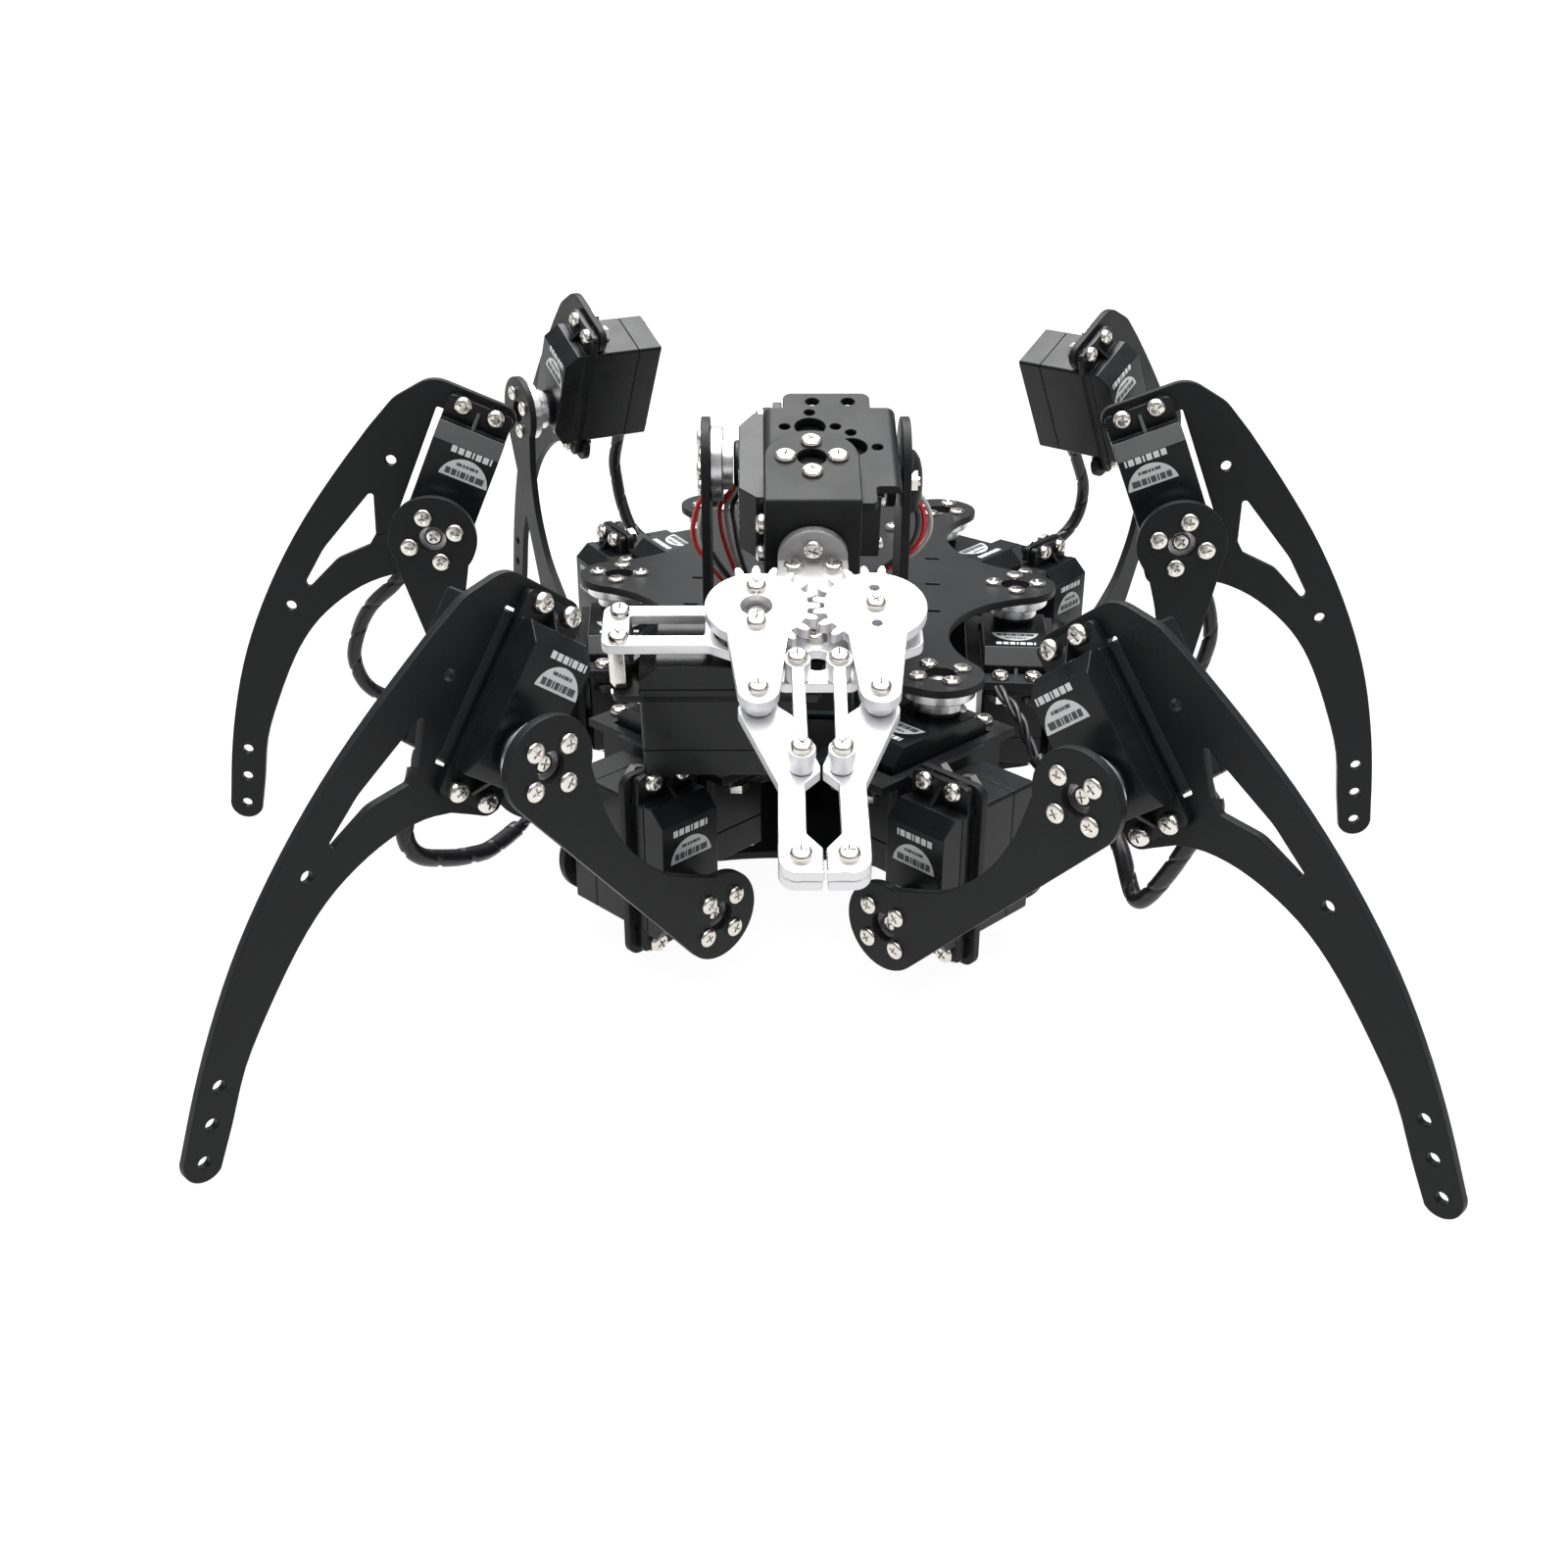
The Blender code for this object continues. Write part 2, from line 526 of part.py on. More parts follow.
def head_bracket_mesh():
    """The upright U on the top deck, about the tilt axis, with the tilt servo's horn disc on one arm."""
    foot = DECK_TOP + GAP - HEAD_AXIS[2]
    left, right = HEAD_ARMS
    arm = arc((0, 0), HEAD_ARM_RADIUS, 0, 180, 12) + [(-HEAD_ARM_RADIUS, foot), (HEAD_ARM_RADIUS, foot)]
    horn_side = moved(prism(arm, left - PLATE, left, [circle((0, 0), 4.0)]), UPRIGHT_X)
    idle_side = moved(prism(arm, right, right + PLATE, [circle((0, 0), 2.2, 8)]), UPRIGHT_X)
    base = box((left - PLATE, -HEAD_ARM_RADIUS, foot), (right + PLATE, HEAD_ARM_RADIUS, foot + PLATE))
    disc = moved(horn(TILT_HORN_FACE), TILT_SERVO)
    return union(base, horn_side, idle_side, disc)


def tilt_bracket_mesh():
    """The bracket over the tilt servo: a tabbed top, an ear flange and, opposite, a round flange."""
    left, right = TILT_BRACKET
    rear, front = 8.6, -29.0
    tab_left, tab_right = -7.3, 17.0
    tip = -ELBOW_FRONT + PLATE + GAP
    tab = [(tab_right, rear, 0), (tab_right, 15.9, 2.5), (tab_left, 15.9, 2.5), (tab_left, rear, 0)]
    top = rounded([(left, rear, 2), (left, tip, 0), (tab_right, tip, 1.5), (tab_right, front, 1),
                   (right, front, 0), (right, rear, 2)] + tab)
    tab_holes = [circle((5.9 + side * EAR_HOLE_SPACING / 2, 11.6), 1.9, 8) for side in (1, -1)]
    openings = [circle(at, 4.2, 12) for at in ((0, -0.8), (11.1, -10.7))]
    cover = prism(top, TILT_TOP - PLATE, TILT_TOP, tab_holes + openings)
    long_end, short_end = -SERVO_LONG_END, -SERVO_SHORT_END
    seat = short_end + 7.5
    flange = rounded([(tip, TILT_TOP - 0.1, 0), (tip, -10.5, 2), (seat, -10.5, 3), (seat, 8.0, 2),
                      (rear, 8.0, 0), (rear, TILT_TOP - 0.1, 0)])
    case_low, case_high = long_end - 0.6, short_end + 0.6
    opening = [(case_low, -10.3), (case_high, -10.3), (case_high, 10.2), (case_low, 10.2)]
    ear_side = moved(prism(flange, left, left + PLATE), UPRIGHT_X)
    ear_side = difference(ear_side, moved(prism(opening, left - 1, left + PLATE + 1), UPRIGHT_X))
    half_round = arc((0, 0), 12.0, 180, 360, 8)[:-1]
    idle = [(rear, TILT_TOP - 0.1), (-12.0, TILT_TOP - 0.1)] + half_round + [(rear, -8.0)]
    idle_side = moved(prism(idle, right - PLATE, right, [circle((0, 0), 2.2, 8)]), UPRIGHT_X)
    return union(cover, ear_side, idle_side)


def elbow_mesh():
    """The bent plate from the tilt bracket's top down its front, which carries the claw."""
    half = LOBE_RADIUS - 0.1
    low = TILT_TOP + GAP
    leaf = arc((0, -ELBOW_HOLE), half, 0, 180, 12) + [(-half, -ELBOW_FRONT), (half, -ELBOW_FRONT)]
    top = prism(leaf, low, low + PLATE, [circle((0, -ELBOW_HOLE), 3.9)])
    front = box((-half, -ELBOW_FRONT, LOWER_LEVEL - 4), (half, -ELBOW_FRONT + PLATE - 0.2, low + PLATE))
    return union(top, front)


# Frames of the servos on the head: the tilt servo's shaft points along -X, the claw servo's up
TILT_SERVO = axes((0, -1, 0), (0, 0, 1), (-1, 0, 0), (HEAD_ARMS[0] + TILT_HORN_FACE, 0, 0))
CLAW_SERVO = axes((-1, 0, 0), (0, -1, 0), (0, 0, 1), (-GEAR_AT[0], -GEAR_AT[1], UPPER_LEVEL - HORN_FACE))
# Frames of the leg's servos in the leg's frame
HIP_SERVO = axes((0, -1, 0), (1, 0, 0), (0, 0, 1), (0, 0, HIP_EARS))


def femur_frame(pitch):
    """Femur axis in the leg's frame: X along the femur at its pitch, Z along the shaft."""
    turn = math.radians(pitch)
    return axes((math.cos(turn), 0, math.sin(turn)), (-math.sin(turn), 0, math.cos(turn)), (0, -1, 0),
                (FEMUR_OUT, -FEMUR_EARS, FEMUR_HEIGHT))


def knee_tilt(pitch):
    """The knee servo's outward lean in radians, which sets the foot's edge on the floor."""
    down, out = FOOT_HOLE
    height = FOOT_RADIUS - FEMUR_HEIGHT - FEMUR_LENGTH * math.sin(math.radians(pitch))
    return math.asin(height / math.hypot(down, out)) - math.atan2(down, out)


def knee_frame(pitch):
    """Knee axis in the femur's frame, with X along the knee servo's long side."""
    lean = math.radians(90 - pitch) + knee_tilt(pitch)
    return Matrix.Translation((FEMUR_LENGTH, 0, 0)) @ Matrix.Rotation(lean, 4, "Z")


# ---------------------------------------------------------------- scene

def material(name, colour, roughness, metallic=0.0):
    surface = bpy.data.materials.new(name)
    surface.use_nodes = True
    shader = surface.node_tree.nodes["Principled BSDF"]
    shader.inputs["Base Color"].default_value = (*colour, 1)
    shader.inputs["Roughness"].default_value = roughness
    shader.inputs["Metallic"].default_value = metallic
    return surface


def empty(name, parent, matrix, collection):
    """A frame for what hangs on it, from a matrix whose shift is in millimetres."""
    frame = bpy.data.objects.new(name, None)
    frame.empty_display_size = 10 * MM
    collection.objects.link(frame)
    frame.parent = parent
    frame.matrix_local = in_metres(matrix)
    return frame


def in_metres(matrix):
    scaled = matrix.copy()
    scaled.translation = matrix.translation * MM
    return scaled


def place(name, mesh, surface, parent, collection, matrix=Matrix()):
    piece = bpy.data.objects.new(name, mesh)
    collection.objects.link(piece)
    piece.parent = parent
    piece.matrix_local = in_metres(matrix)
    if not mesh.materials:
        mesh.materials.append(surface)
    mesh.shade_smooth()
    mesh.set_sharp_from_angle(angle=math.radians(30))
    return piece


def smooth_route(knots, spacing):
    """Points read from a Catmull-Rom curve through the knots, about spacing apart."""
    points = [Vector(knot) for knot in knots]
    ends = [2 * points[0] - points[1], *points, 2 * points[-1] - points[-2]]
    route = []
    for a, b, c, d in zip(ends, ends[1:], ends[2:], ends[3:]):
        count = max(1, round((c - b).length / spacing))
        for i in range(count):
            t = i / count
            route.append(0.5 * (2 * b + (c - a) * t + (2 * a - 5 * b + 4 * c - d) * t**2
                                + (3 * b - a - 3 * c + d) * t**3))
    return route + [points[-1]]


def cable(name, knots, radius, surface, parent, collection):
    """A round lead along the knots, which are in the parent's frame in millimetres."""
    route = smooth_route(knots, 5.0 * radius)
    line = bpy.data.curves.new(name, "CURVE")
    line.dimensions = "3D"
    line.bevel_depth = radius * MM
    line.bevel_resolution = 2
    line.use_fill_caps = True
    spline = line.splines.new("POLY")
    spline.points.add(len(route) - 1)
    for point, at in zip(spline.points, route):
        point.co = (*(at * MM), 1)
    line.materials.append(surface)
    lead = bpy.data.objects.new(name, line)
    collection.objects.link(lead)
    lead.parent = parent
    return lead


def knee_point(pitch, along, out, depth):
    """A point of the leg's frame, from the knee axis along the servo's long side, outwards and behind."""
    return femur_frame(pitch) @ knee_frame(pitch) @ Vector((along, -out, -depth))


def leg_cable_knots(name, pitch):
    """The lead from the knee servo's foot end, in a loop behind the femur to the hip and into the body."""
    start = knee_point(pitch, -10.6, 0.0, 22.0)
    return [start, *(Vector(knot) for knot in LEG_LEADS[name])]


def build_leg(name, meshes, surfaces, deck, collection):
    side, lobe, yaw, pitch = LEGS[name]
    mirror = empty(name + "_side", deck, Matrix.Diagonal((side, 1, 1, 1)), collection)
    swing = Matrix.Translation((*lobe, 0)) @ Matrix.Rotation(math.radians(yaw), 4, "Z")
    hip = empty(name + "_hip_axis", mirror, swing, collection)
    femur = empty(name + "_femur_axis", hip, femur_frame(pitch), collection)
    knee = empty(name + "_knee_axis", femur, knee_frame(pitch), collection)
    upright = femur_frame(90)
    place(name + "_hip_servo", meshes["servo"], surfaces["servo"], hip, collection, HIP_SERVO)
    place(name + "_hip_bracket", meshes["hip_bracket"], surfaces["black"], hip, collection)
    place(name + "_femur_servo", meshes["servo"], surfaces["servo"], hip, collection, upright)
    place(name + "_femur_plate", meshes["femur_plate"], surfaces["black"], femur, collection)
    place(name + "_knee_servo", meshes["servo"], surfaces["servo"], knee, collection)
    place(name + "_shin_plate", meshes["shin_plate"], surfaces["black"], knee, collection)
    cable(name + "_cable", leg_cable_knots(name, pitch), LEAD_RADIUS, surfaces["cable"], hip, collection)


def build_head(meshes, surfaces, deck, collection):
    turned = Matrix.Translation(HEAD_AXIS) @ Matrix.Rotation(math.radians(HEAD_YAW), 4, "Z")
    upright = empty("head_upright", deck, turned, collection)
    tilt = empty("head_tilt_axis", upright, Matrix.Rotation(math.radians(HEAD_TILT), 4, "X"), collection)
    place("head_bracket", meshes["head_bracket"], surfaces["black"], upright, collection)
    place("tilt_servo", meshes["servo"], surfaces["servo"], tilt, collection, TILT_SERVO)
    place("tilt_bracket", meshes["tilt_bracket"], surfaces["black"], tilt, collection)
    place("elbow_bracket", meshes["elbow"], surfaces["black"], tilt, collection)
    place("claw_base", meshes["claw_base"], surfaces["bright"], tilt, collection)
    place("claw_servo", meshes["servo"], surfaces["servo"], tilt, collection, CLAW_SERVO)
    build_claw(meshes, surfaces, tilt, collection)


def build_claw(meshes, surfaces, tilt, collection):
    for name, side in (("left", -1), ("right", 1)):
        gear_place = Matrix.Translation((side * GEAR_AT[0], -GEAR_AT[1], 0))
        gear = empty(name + "_gear_axis", tilt, gear_place, collection)
        place(name + "_gear_arm", meshes[name + "_arm"], surfaces["bright"], gear, collection)
        flip = Matrix.Diagonal((-side, 1, 1, 1))
        pivot = Matrix.Translation((side * LINK_AT[0], -LINK_AT[1], 0)) @ flip
        place(name + "_link", meshes["link"], surfaces["bright"], tilt, collection, pivot)
        shoulder = Matrix.Translation((side * (GEAR_AT[0] + ARM_VECTOR[0]), -GEAR_AT[1] - ARM_VECTOR[1], 0))
        place(name + "_finger", meshes["finger"], surfaces["bright"], tilt, collection, shoulder @ flip)


def build_body(meshes, surfaces, deck, collection):
    place("top_deck", meshes["top_deck"], surfaces["black"], deck, collection)
    place("bottom_deck", meshes["bottom_deck"], surfaces["black"], deck, collection)
    low = LOWER_DECK_TOP + GAP
    battery = rounded([(-17, -35, 3), (17, -35, 3), (17, 35, 3), (-17, 35, 3)])
    place("battery_pack", prism(battery, low, low + 24), surfaces["battery"], deck, collection)
    board = rounded([(-25, -40, 2), (25, -40, 2), (25, 40, 2), (-25, 40, 2)])
    pads = [box((-12, y - 4, low + 27.9), (12, y + 4, low + 34)) for y in (-30, 0, 30)]
    board_mesh = union(prism(board, low + 26.4, low + 28), *pads)
    place("control_board", board_mesh, surfaces["board"], deck, collection)


def main():
    for leftover in list(bpy.data.objects):
        bpy.data.objects.remove(leftover)
    collection = bpy.data.collections.new("hexapod_robot")
    bpy.context.scene.collection.children.link(collection)
    surfaces = {
        "black": material("black_anodised_plate", (0.022, 0.022, 0.023), 0.42, 0.6),
        "servo": material("servo_case_plastic", (0.012, 0.012, 0.013), 0.28),
        "bright": material("blasted_aluminium", (0.82, 0.83, 0.84), 0.34, 1.0),
        "cable": material("cable_wrap", (0.02, 0.02, 0.022), 0.35),
        "battery": material("battery_sleeve", (0.03, 0.05, 0.16), 0.45),
        "board": material("circuit_board", (0.01, 0.09, 0.03), 0.4),
    }
    meshes = {
        "servo": servo_mesh(),
        "hip_bracket": hip_bracket_mesh(),
        "femur_plate": femur_plate_mesh(),
        "shin_plate": shin_plate_mesh(),
        "top_deck": upper_deck_mesh(),
        "bottom_deck": lower_deck_mesh(),
        "head_bracket": head_bracket_mesh(),
        "tilt_bracket": tilt_bracket_mesh(),
        "elbow": elbow_mesh(),
        "claw_base": claw_base_mesh(),
        "left_arm": claw_arm_mesh(True),
        "right_arm": claw_arm_mesh(False),
        "link": claw_link_mesh(),
        "finger": finger_mesh(),
    }
    deck = empty("deck_middle", None, Matrix.Translation((*DECK_AT, 0)), collection)
    build_body(meshes, surfaces, deck, collection)
    for name in LEGS:
        build_leg(name, meshes, surfaces, deck, collection)
    build_head(meshes, surfaces, deck, collection)
    bpy.context.view_layer.update()


main()
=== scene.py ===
"""Looks of a six-legged walking robot with a tilting gripper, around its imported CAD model.

Pieces are drawn in millimetres in the frames of the legs, the head and the servos, which are worked
out from the axes of the record's joints. They become metres where a mesh is made.
"""

import json
import math

import bmesh
import bpy
from mathutils import Matrix, Vector
from mathutils.geometry import delaunay_2d_cdt

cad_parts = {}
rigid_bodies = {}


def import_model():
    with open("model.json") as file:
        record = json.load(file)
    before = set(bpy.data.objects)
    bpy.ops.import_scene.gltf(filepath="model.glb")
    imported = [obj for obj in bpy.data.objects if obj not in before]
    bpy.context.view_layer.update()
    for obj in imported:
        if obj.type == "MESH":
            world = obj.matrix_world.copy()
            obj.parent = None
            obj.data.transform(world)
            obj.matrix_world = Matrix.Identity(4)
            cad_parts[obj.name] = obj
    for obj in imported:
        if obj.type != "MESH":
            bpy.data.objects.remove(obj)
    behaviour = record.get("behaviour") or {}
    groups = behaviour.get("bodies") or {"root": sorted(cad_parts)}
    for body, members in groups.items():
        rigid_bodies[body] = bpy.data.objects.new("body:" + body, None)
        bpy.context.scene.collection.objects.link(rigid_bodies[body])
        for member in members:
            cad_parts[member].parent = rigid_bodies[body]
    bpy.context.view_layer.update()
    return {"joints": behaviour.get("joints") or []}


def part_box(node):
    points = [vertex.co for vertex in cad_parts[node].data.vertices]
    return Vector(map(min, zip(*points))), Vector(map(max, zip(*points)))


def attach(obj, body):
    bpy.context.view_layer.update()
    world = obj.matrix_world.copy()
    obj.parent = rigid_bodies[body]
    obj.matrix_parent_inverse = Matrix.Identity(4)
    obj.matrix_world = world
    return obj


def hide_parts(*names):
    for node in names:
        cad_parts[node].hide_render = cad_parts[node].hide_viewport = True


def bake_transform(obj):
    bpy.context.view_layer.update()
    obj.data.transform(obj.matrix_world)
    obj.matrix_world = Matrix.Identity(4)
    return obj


for leftover in list(bpy.data.objects):
    bpy.data.objects.remove(leftover)
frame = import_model()
JOINTS = {joint["name"]: joint for joint in frame["joints"]}
LEGS = [name[:-len("_hip_yaw")] for name in JOINTS if name.endswith("_hip_yaw")]

MM = 0.001
UP = Vector((0, 0, 1))

# Sheet metal and running gaps
PLATE = 2.5
GAP = 0.3
BEND = 2.6

# Standard servo, in its own frame: shaft along +Z through the origin, ears' back at Z = 0, body along +X
SERVO_SHORT_END = -10.0
SERVO_LONG_END = 30.0
SERVO_HALF_WIDTH = 10.0
SERVO_BELOW_EARS = 26.0
SERVO_CASE_TOP = 12.0
SERVO_BOSS_TOP = 13.5
SERVO_BOSS_RADIUS = 6.5
EAR = 2.5
EAR_REACH = 6.8
EAR_HOLE_REACH = 4.75
EAR_HOLE_SPACING = 10.0

# Horn disc on the servo's shaft, and the pattern of screws in it
HORN_RADIUS = 10.4
HORN_FACE = 21.0
HORN_BASE = SERVO_BOSS_TOP + GAP
HORN_SCREW_CIRCLE = 7.0
LOBE_RADIUS = 12.8

# Decks: lobe centres come from the hip joints
DECK_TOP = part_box("top_deck")[1].z / MM
LOWER_DECK_TOP = 14.4
SIDE_SCALLOP = 36.0
END_SCALLOP = 80.0
POST_RADIUS = 3.2
POSTS = ((24.0, -52.0), (24.0, 52.0))

# Leg: hip axis to femur axis, hip axis to the femur servo's ears, femur and foot sizes
FEMUR_OUT = 27.8
FEMUR_EARS = 28.3
FEMUR_HEIGHT = 21.5
FEMUR_LENGTH = 83.2
FOOT_HOLE = (25.7, -116.2)
FOOT_RADIUS = 5.2
HIP_EARS = DECK_TOP - PLATE - HORN_FACE
HIP_FLOOR = HIP_EARS - 31.4
BRACKET_BACK = 16.4

# Head
HEAD_ARMS = (-27.6, 25.4)
TILT_HORN_FACE = 20.0
HEAD_ARM_RADIUS = 13.0
TILT_BRACKET = (-12.9, 24.0)
TILT_TOP = 12.8
ELBOW_HOLE = 19.4
ELBOW_FRONT = 39.4

# Claw, in the head's frame
GEAR_AT = (15.0, 68.9)
GEAR_TEETH = 20
PRESSURE_ANGLE = 20.0
ARM_END = (0.4, -31.4)
SHOULDER = (-GEAR_AT[0] + ARM_END[0], -GEAR_AT[1] + ARM_END[1])
LINK_AT = (5.1, 89.3)
CLAW_PLATE = 3.0
LOWER_LEVEL = -4.3
UPPER_LEVEL = 2.2
CLAW_END = 153.6

# ---------------- outlines

def arc(centre, radius, start, end, steps):
    """Points of an arc, in degrees, with both its ends."""
    angles = (math.radians(start + (end - start) * i / steps) for i in range(steps + 1))
    return [(centre[0] + radius * math.cos(a), centre[1] + radius * math.sin(a)) for a in angles]


def circle(centre, radius, steps=32):
    return arc(centre, radius, 0, 360, steps)[:-1]


def rounded(corners, steps=6):
    """A closed outline from corners (x, y, radius), with each corner rounded to its radius."""
    points = []
    for i, (x, y, radius) in enumerate(corners):
        here = Vector((x, y))
        before = (Vector(corners[i - 1][:2]) - here).normalized()
        after = (Vector(corners[(i + 1) % len(corners)][:2]) - here).normalized()
        if not radius:
            points.append((x, y))
            continue
        half = before.angle(after) / 2
        middle = here + (before + after).normalized() * radius / math.sin(half)
        start = here + before * radius / math.tan(half) - middle
        turn = start.angle_signed(here + after * radius / math.tan(half) - middle)
        for k in range(steps + 1):
            spoke = Matrix.Rotation(-turn * k / steps, 2) @ start
            points.append(tuple(middle + spoke))
    return points


def panel(left, low, right, high, radius=0.0, steps=6):
    """A rectangle, anticlockwise from its lower left corner, with rounded corners."""
    corners = ((left, low), (right, low), (right, high), (left, high))
    return rounded([(x, y, radius) for x, y in corners], steps)


def flowing(points, steps=3):
    """More points on a Catmull-Rom curve through the given ones."""
    knots = [Vector(point) for point in points]
    ends = [2 * knots[0] - knots[1], *knots, 2 * knots[-1] - knots[-2]]
    found = []
    for a, b, c, d in zip(ends, ends[1:], ends[2:], ends[3:]):
        found += [tuple(between(a, b, c, d, i / steps)) for i in range(steps)]
    return found + [tuple(knots[-1])]


def between(a, b, c, d, t):
    """Catmull-Rom point from b at t = 0 to c at t = 1."""
    return 0.5 * (2 * b + (c - a) * t + (2 * a - 5 * b + 4 * c - d) * t**2 + (3 * b - a - 3 * c + d) * t**3)


def tangent_centre(a, b, radius, lobe):
    """Centre of the circle outside lobes a and b that touches both, to the right of the way from a to b."""
    half = (b - a).length / 2
    right = Vector((b.y - a.y, a.x - b.x)).normalized()
    return (a + b) / 2 + right * math.sqrt((radius + lobe) ** 2 - half**2)


def degrees_of(vector):
    return math.degrees(math.atan2(vector.y, vector.x))


def lobed_outline(lobes):
    """The deck's edge: six round lobes joined by scalloped arcs, anticlockwise from the front right."""
    scallops = [SIDE_SCALLOP, SIDE_SCALLOP, END_SCALLOP] * 2
    centres = [tangent_centre(lobes[i], lobes[(i + 1) % 6], scallops[i], LOBE_RADIUS) for i in range(6)]
    points = []
    for i, lobe in enumerate(lobes):
        start, end = degrees_of(centres[i - 1] - lobe), degrees_of(centres[i] - lobe)
        points += arc(lobe, LOBE_RADIUS, start, end + 360 * (end < start), 28)
        a, b = degrees_of(lobe - centres[i]), degrees_of(lobes[(i + 1) % 6] - centres[i])
        points += arc(centres[i], scallops[i], a, b - 360 * (b > a), 28)[1:-1]
    return points


def pattern(centre, turn=0.0, count=4, radius=HORN_SCREW_CIRCLE):
    """Places of evenly spaced screws round a centre."""
    return arc(centre, radius, turn, turn + 360, count)[:-1]


# ---------------- solids

def mesh_from(build):
    """A mesh from what build adds to an empty bmesh, in millimetres."""
    shape = bmesh.new()
    build(shape)
    bmesh.ops.scale(shape, vec=(MM, MM, MM), verts=shape.verts)
    bmesh.ops.recalc_face_normals(shape, faces=shape.faces)
    mesh = bpy.data.meshes.new("solid")
    shape.to_mesh(mesh)
    shape.free()
    return mesh


def box(low, high):
    low, high = Vector(low), Vector(high)
    place = Matrix.Translation((low + high) / 2) @ Matrix.Diagonal((*(high - low), 1))
    return mesh_from(lambda shape: bmesh.ops.create_cube(shape, size=1, matrix=place))


def drum(radius, bottom, top, centre=(0, 0), segments=48):
    place = Matrix.Translation((*centre, (bottom + top) / 2))
    return mesh_from(lambda shape: bmesh.ops.create_cone(
        shape, cap_ends=True, segments=segments, radius1=radius, radius2=radius,
        depth=top - bottom, matrix=place))


def turned(profile, segments=32):
    """A turned solid from its profile of (radius, height), which starts and ends on the axis."""
    def build(shape):
        points = [shape.verts.new((radius, 0, height)) for radius, height in profile]
        edges = [shape.edges.new(pair) for pair in zip(points, points[1:])]
        bmesh.ops.spin(shape, geom=points + edges, axis=(0, 0, 1), cent=(0, 0, 0),
                       angle=math.tau, steps=segments, use_duplicate=False)
        bmesh.ops.remove_doubles(shape, verts=shape.verts, dist=1e-4)

    return mesh_from(build)


def encloses(loops, point):
    """Whether a point is inside the outline and outside its holes."""
    crossings = 0
    for loop in loops:
        for (ax, ay), (bx, by) in zip(loop, loop[1:] + loop[:1]):
            if (ay > point.y) != (by > point.y) and point.x < ax + (bx - ax) * (point.y - ay) / (by - ay):
                crossings += 1
    return crossings % 2 == 1


def prism(outline, bottom, top, holes=()):
    """A flat outline with holes, filled and extruded from bottom to top."""
    loops = [list(outline), *map(list, holes)]
    corners, rims = [], []
    for loop in loops:
        first, count = len(corners), len(loop)
        corners += [Vector(point) for point in loop]
        rims += [(first + i, first + (i + 1) % count) for i in range(count)]
    corners, _, faces = delaunay_2d_cdt(corners, rims, [], 1, 1e-4)[:3]
    faces = [face for face in faces if encloses(loops, sum((corners[i] for i in face), Vector((0, 0))) / 3)]

    def build(shape):
        low = [shape.verts.new((*corner, bottom)) for corner in corners]
        high = [shape.verts.new((*corner, top)) for corner in corners]
        used = set()
        for face in faces:
            shape.faces.new([high[i] for i in face])
            shape.faces.new([low[i] for i in reversed(face)])
            for a, b in zip(face, face[1:] + face[:1]):
                used.add((a, b))
        for a, b in used:
            if (b, a) not in used:
                shape.faces.new((low[a], low[b], high[b], high[a]))
        bmesh.ops.delete(shape, geom=[vert for vert in shape.verts if not vert.link_faces], context="VERTS")

    return mesh_from(build)


def placed(name, data):
    """A new object in the scene."""
    obj = bpy.data.objects.new(name, data)
    bpy.context.scene.collection.objects.link(obj)
    return obj


def baked(holder):
    """The evaluated mesh of an object, which is then removed."""
    graph = bpy.context.evaluated_depsgraph_get()
    mesh = bpy.data.meshes.new_from_object(holder.evaluated_get(graph))
    bpy.data.objects.remove(holder)
    return mesh


def combined(operation, first, others):
    holder = placed("first", first)
    tools = [placed("tool", other) for other in others]
    for tool in tools:
        step = holder.modifiers.new(operation, "BOOLEAN")
        step.operation = operation
        step.solver = "EXACT"
        step.object = tool
    mesh = baked(holder)
    for tool in tools:
        bpy.data.objects.remove(tool)
    return mesh


def union(first, *others):
    return combined("UNION", first, others)


def difference(first, *others):
    return combined("DIFFERENCE", first, others)


def within(first, *others):
    return combined("INTERSECT", first, others)


def moved(mesh, matrix):
    """The mesh itself, turned and shifted by a matrix whose shift is in millimetres."""
    scaled = matrix.copy()
    scaled.translation = matrix.translation * MM
    mesh.transform(scaled)
    if matrix.determinant() < 0:
        mesh.flip_normals()
    return mesh


def together(*meshes):
    """One mesh that holds all of the given ones, as separate shells."""
    shape = bmesh.new()
    for mesh in meshes:
        shape.from_mesh(mesh)
    joined = bpy.data.meshes.new("together")
    shape.to_mesh(joined)
    shape.free()
    return joined


def copies(mesh, places):
    """One mesh with a copy at each place, which is a matrix in millimetres."""
    return together(*(moved(mesh.copy(), place) for place in places))


def softened(mesh, width):
    """The mesh with its creases rounded to a width in millimetres."""
    shape = bmesh.new()
    shape.from_mesh(mesh)
    bmesh.ops.remove_doubles(shape, verts=shape.verts, dist=2e-3 * MM)
    bmesh.ops.dissolve_limit(shape, angle_limit=math.radians(0.4), verts=shape.verts, edges=shape.edges)
    clean = bpy.data.meshes.new("clean")
    shape.to_mesh(clean)
    shape.free()
    holder = placed("clean", clean)
    soft = holder.modifiers.new("edges", "BEVEL")
    soft.width = width * MM
    soft.segments = 2
    soft.limit_method = "ANGLE"
    soft.angle_limit = math.radians(38)
    soft.use_clamp_overlap = False
    soft.miter_outer = "MITER_ARC"
    return baked(holder)


def soft_shells(width, *meshes):
    """One mesh of separate shells, each with its own creases rounded."""
    return together(*(softened(mesh, width) for mesh in meshes))


def axes(x, y, z, origin=(0, 0, 0)):
    """The matrix whose columns are the given axes and origin, in millimetres."""
    matrix = Matrix((x, y, z)).transposed().to_4x4()
    matrix.translation = Vector(origin)
    return matrix


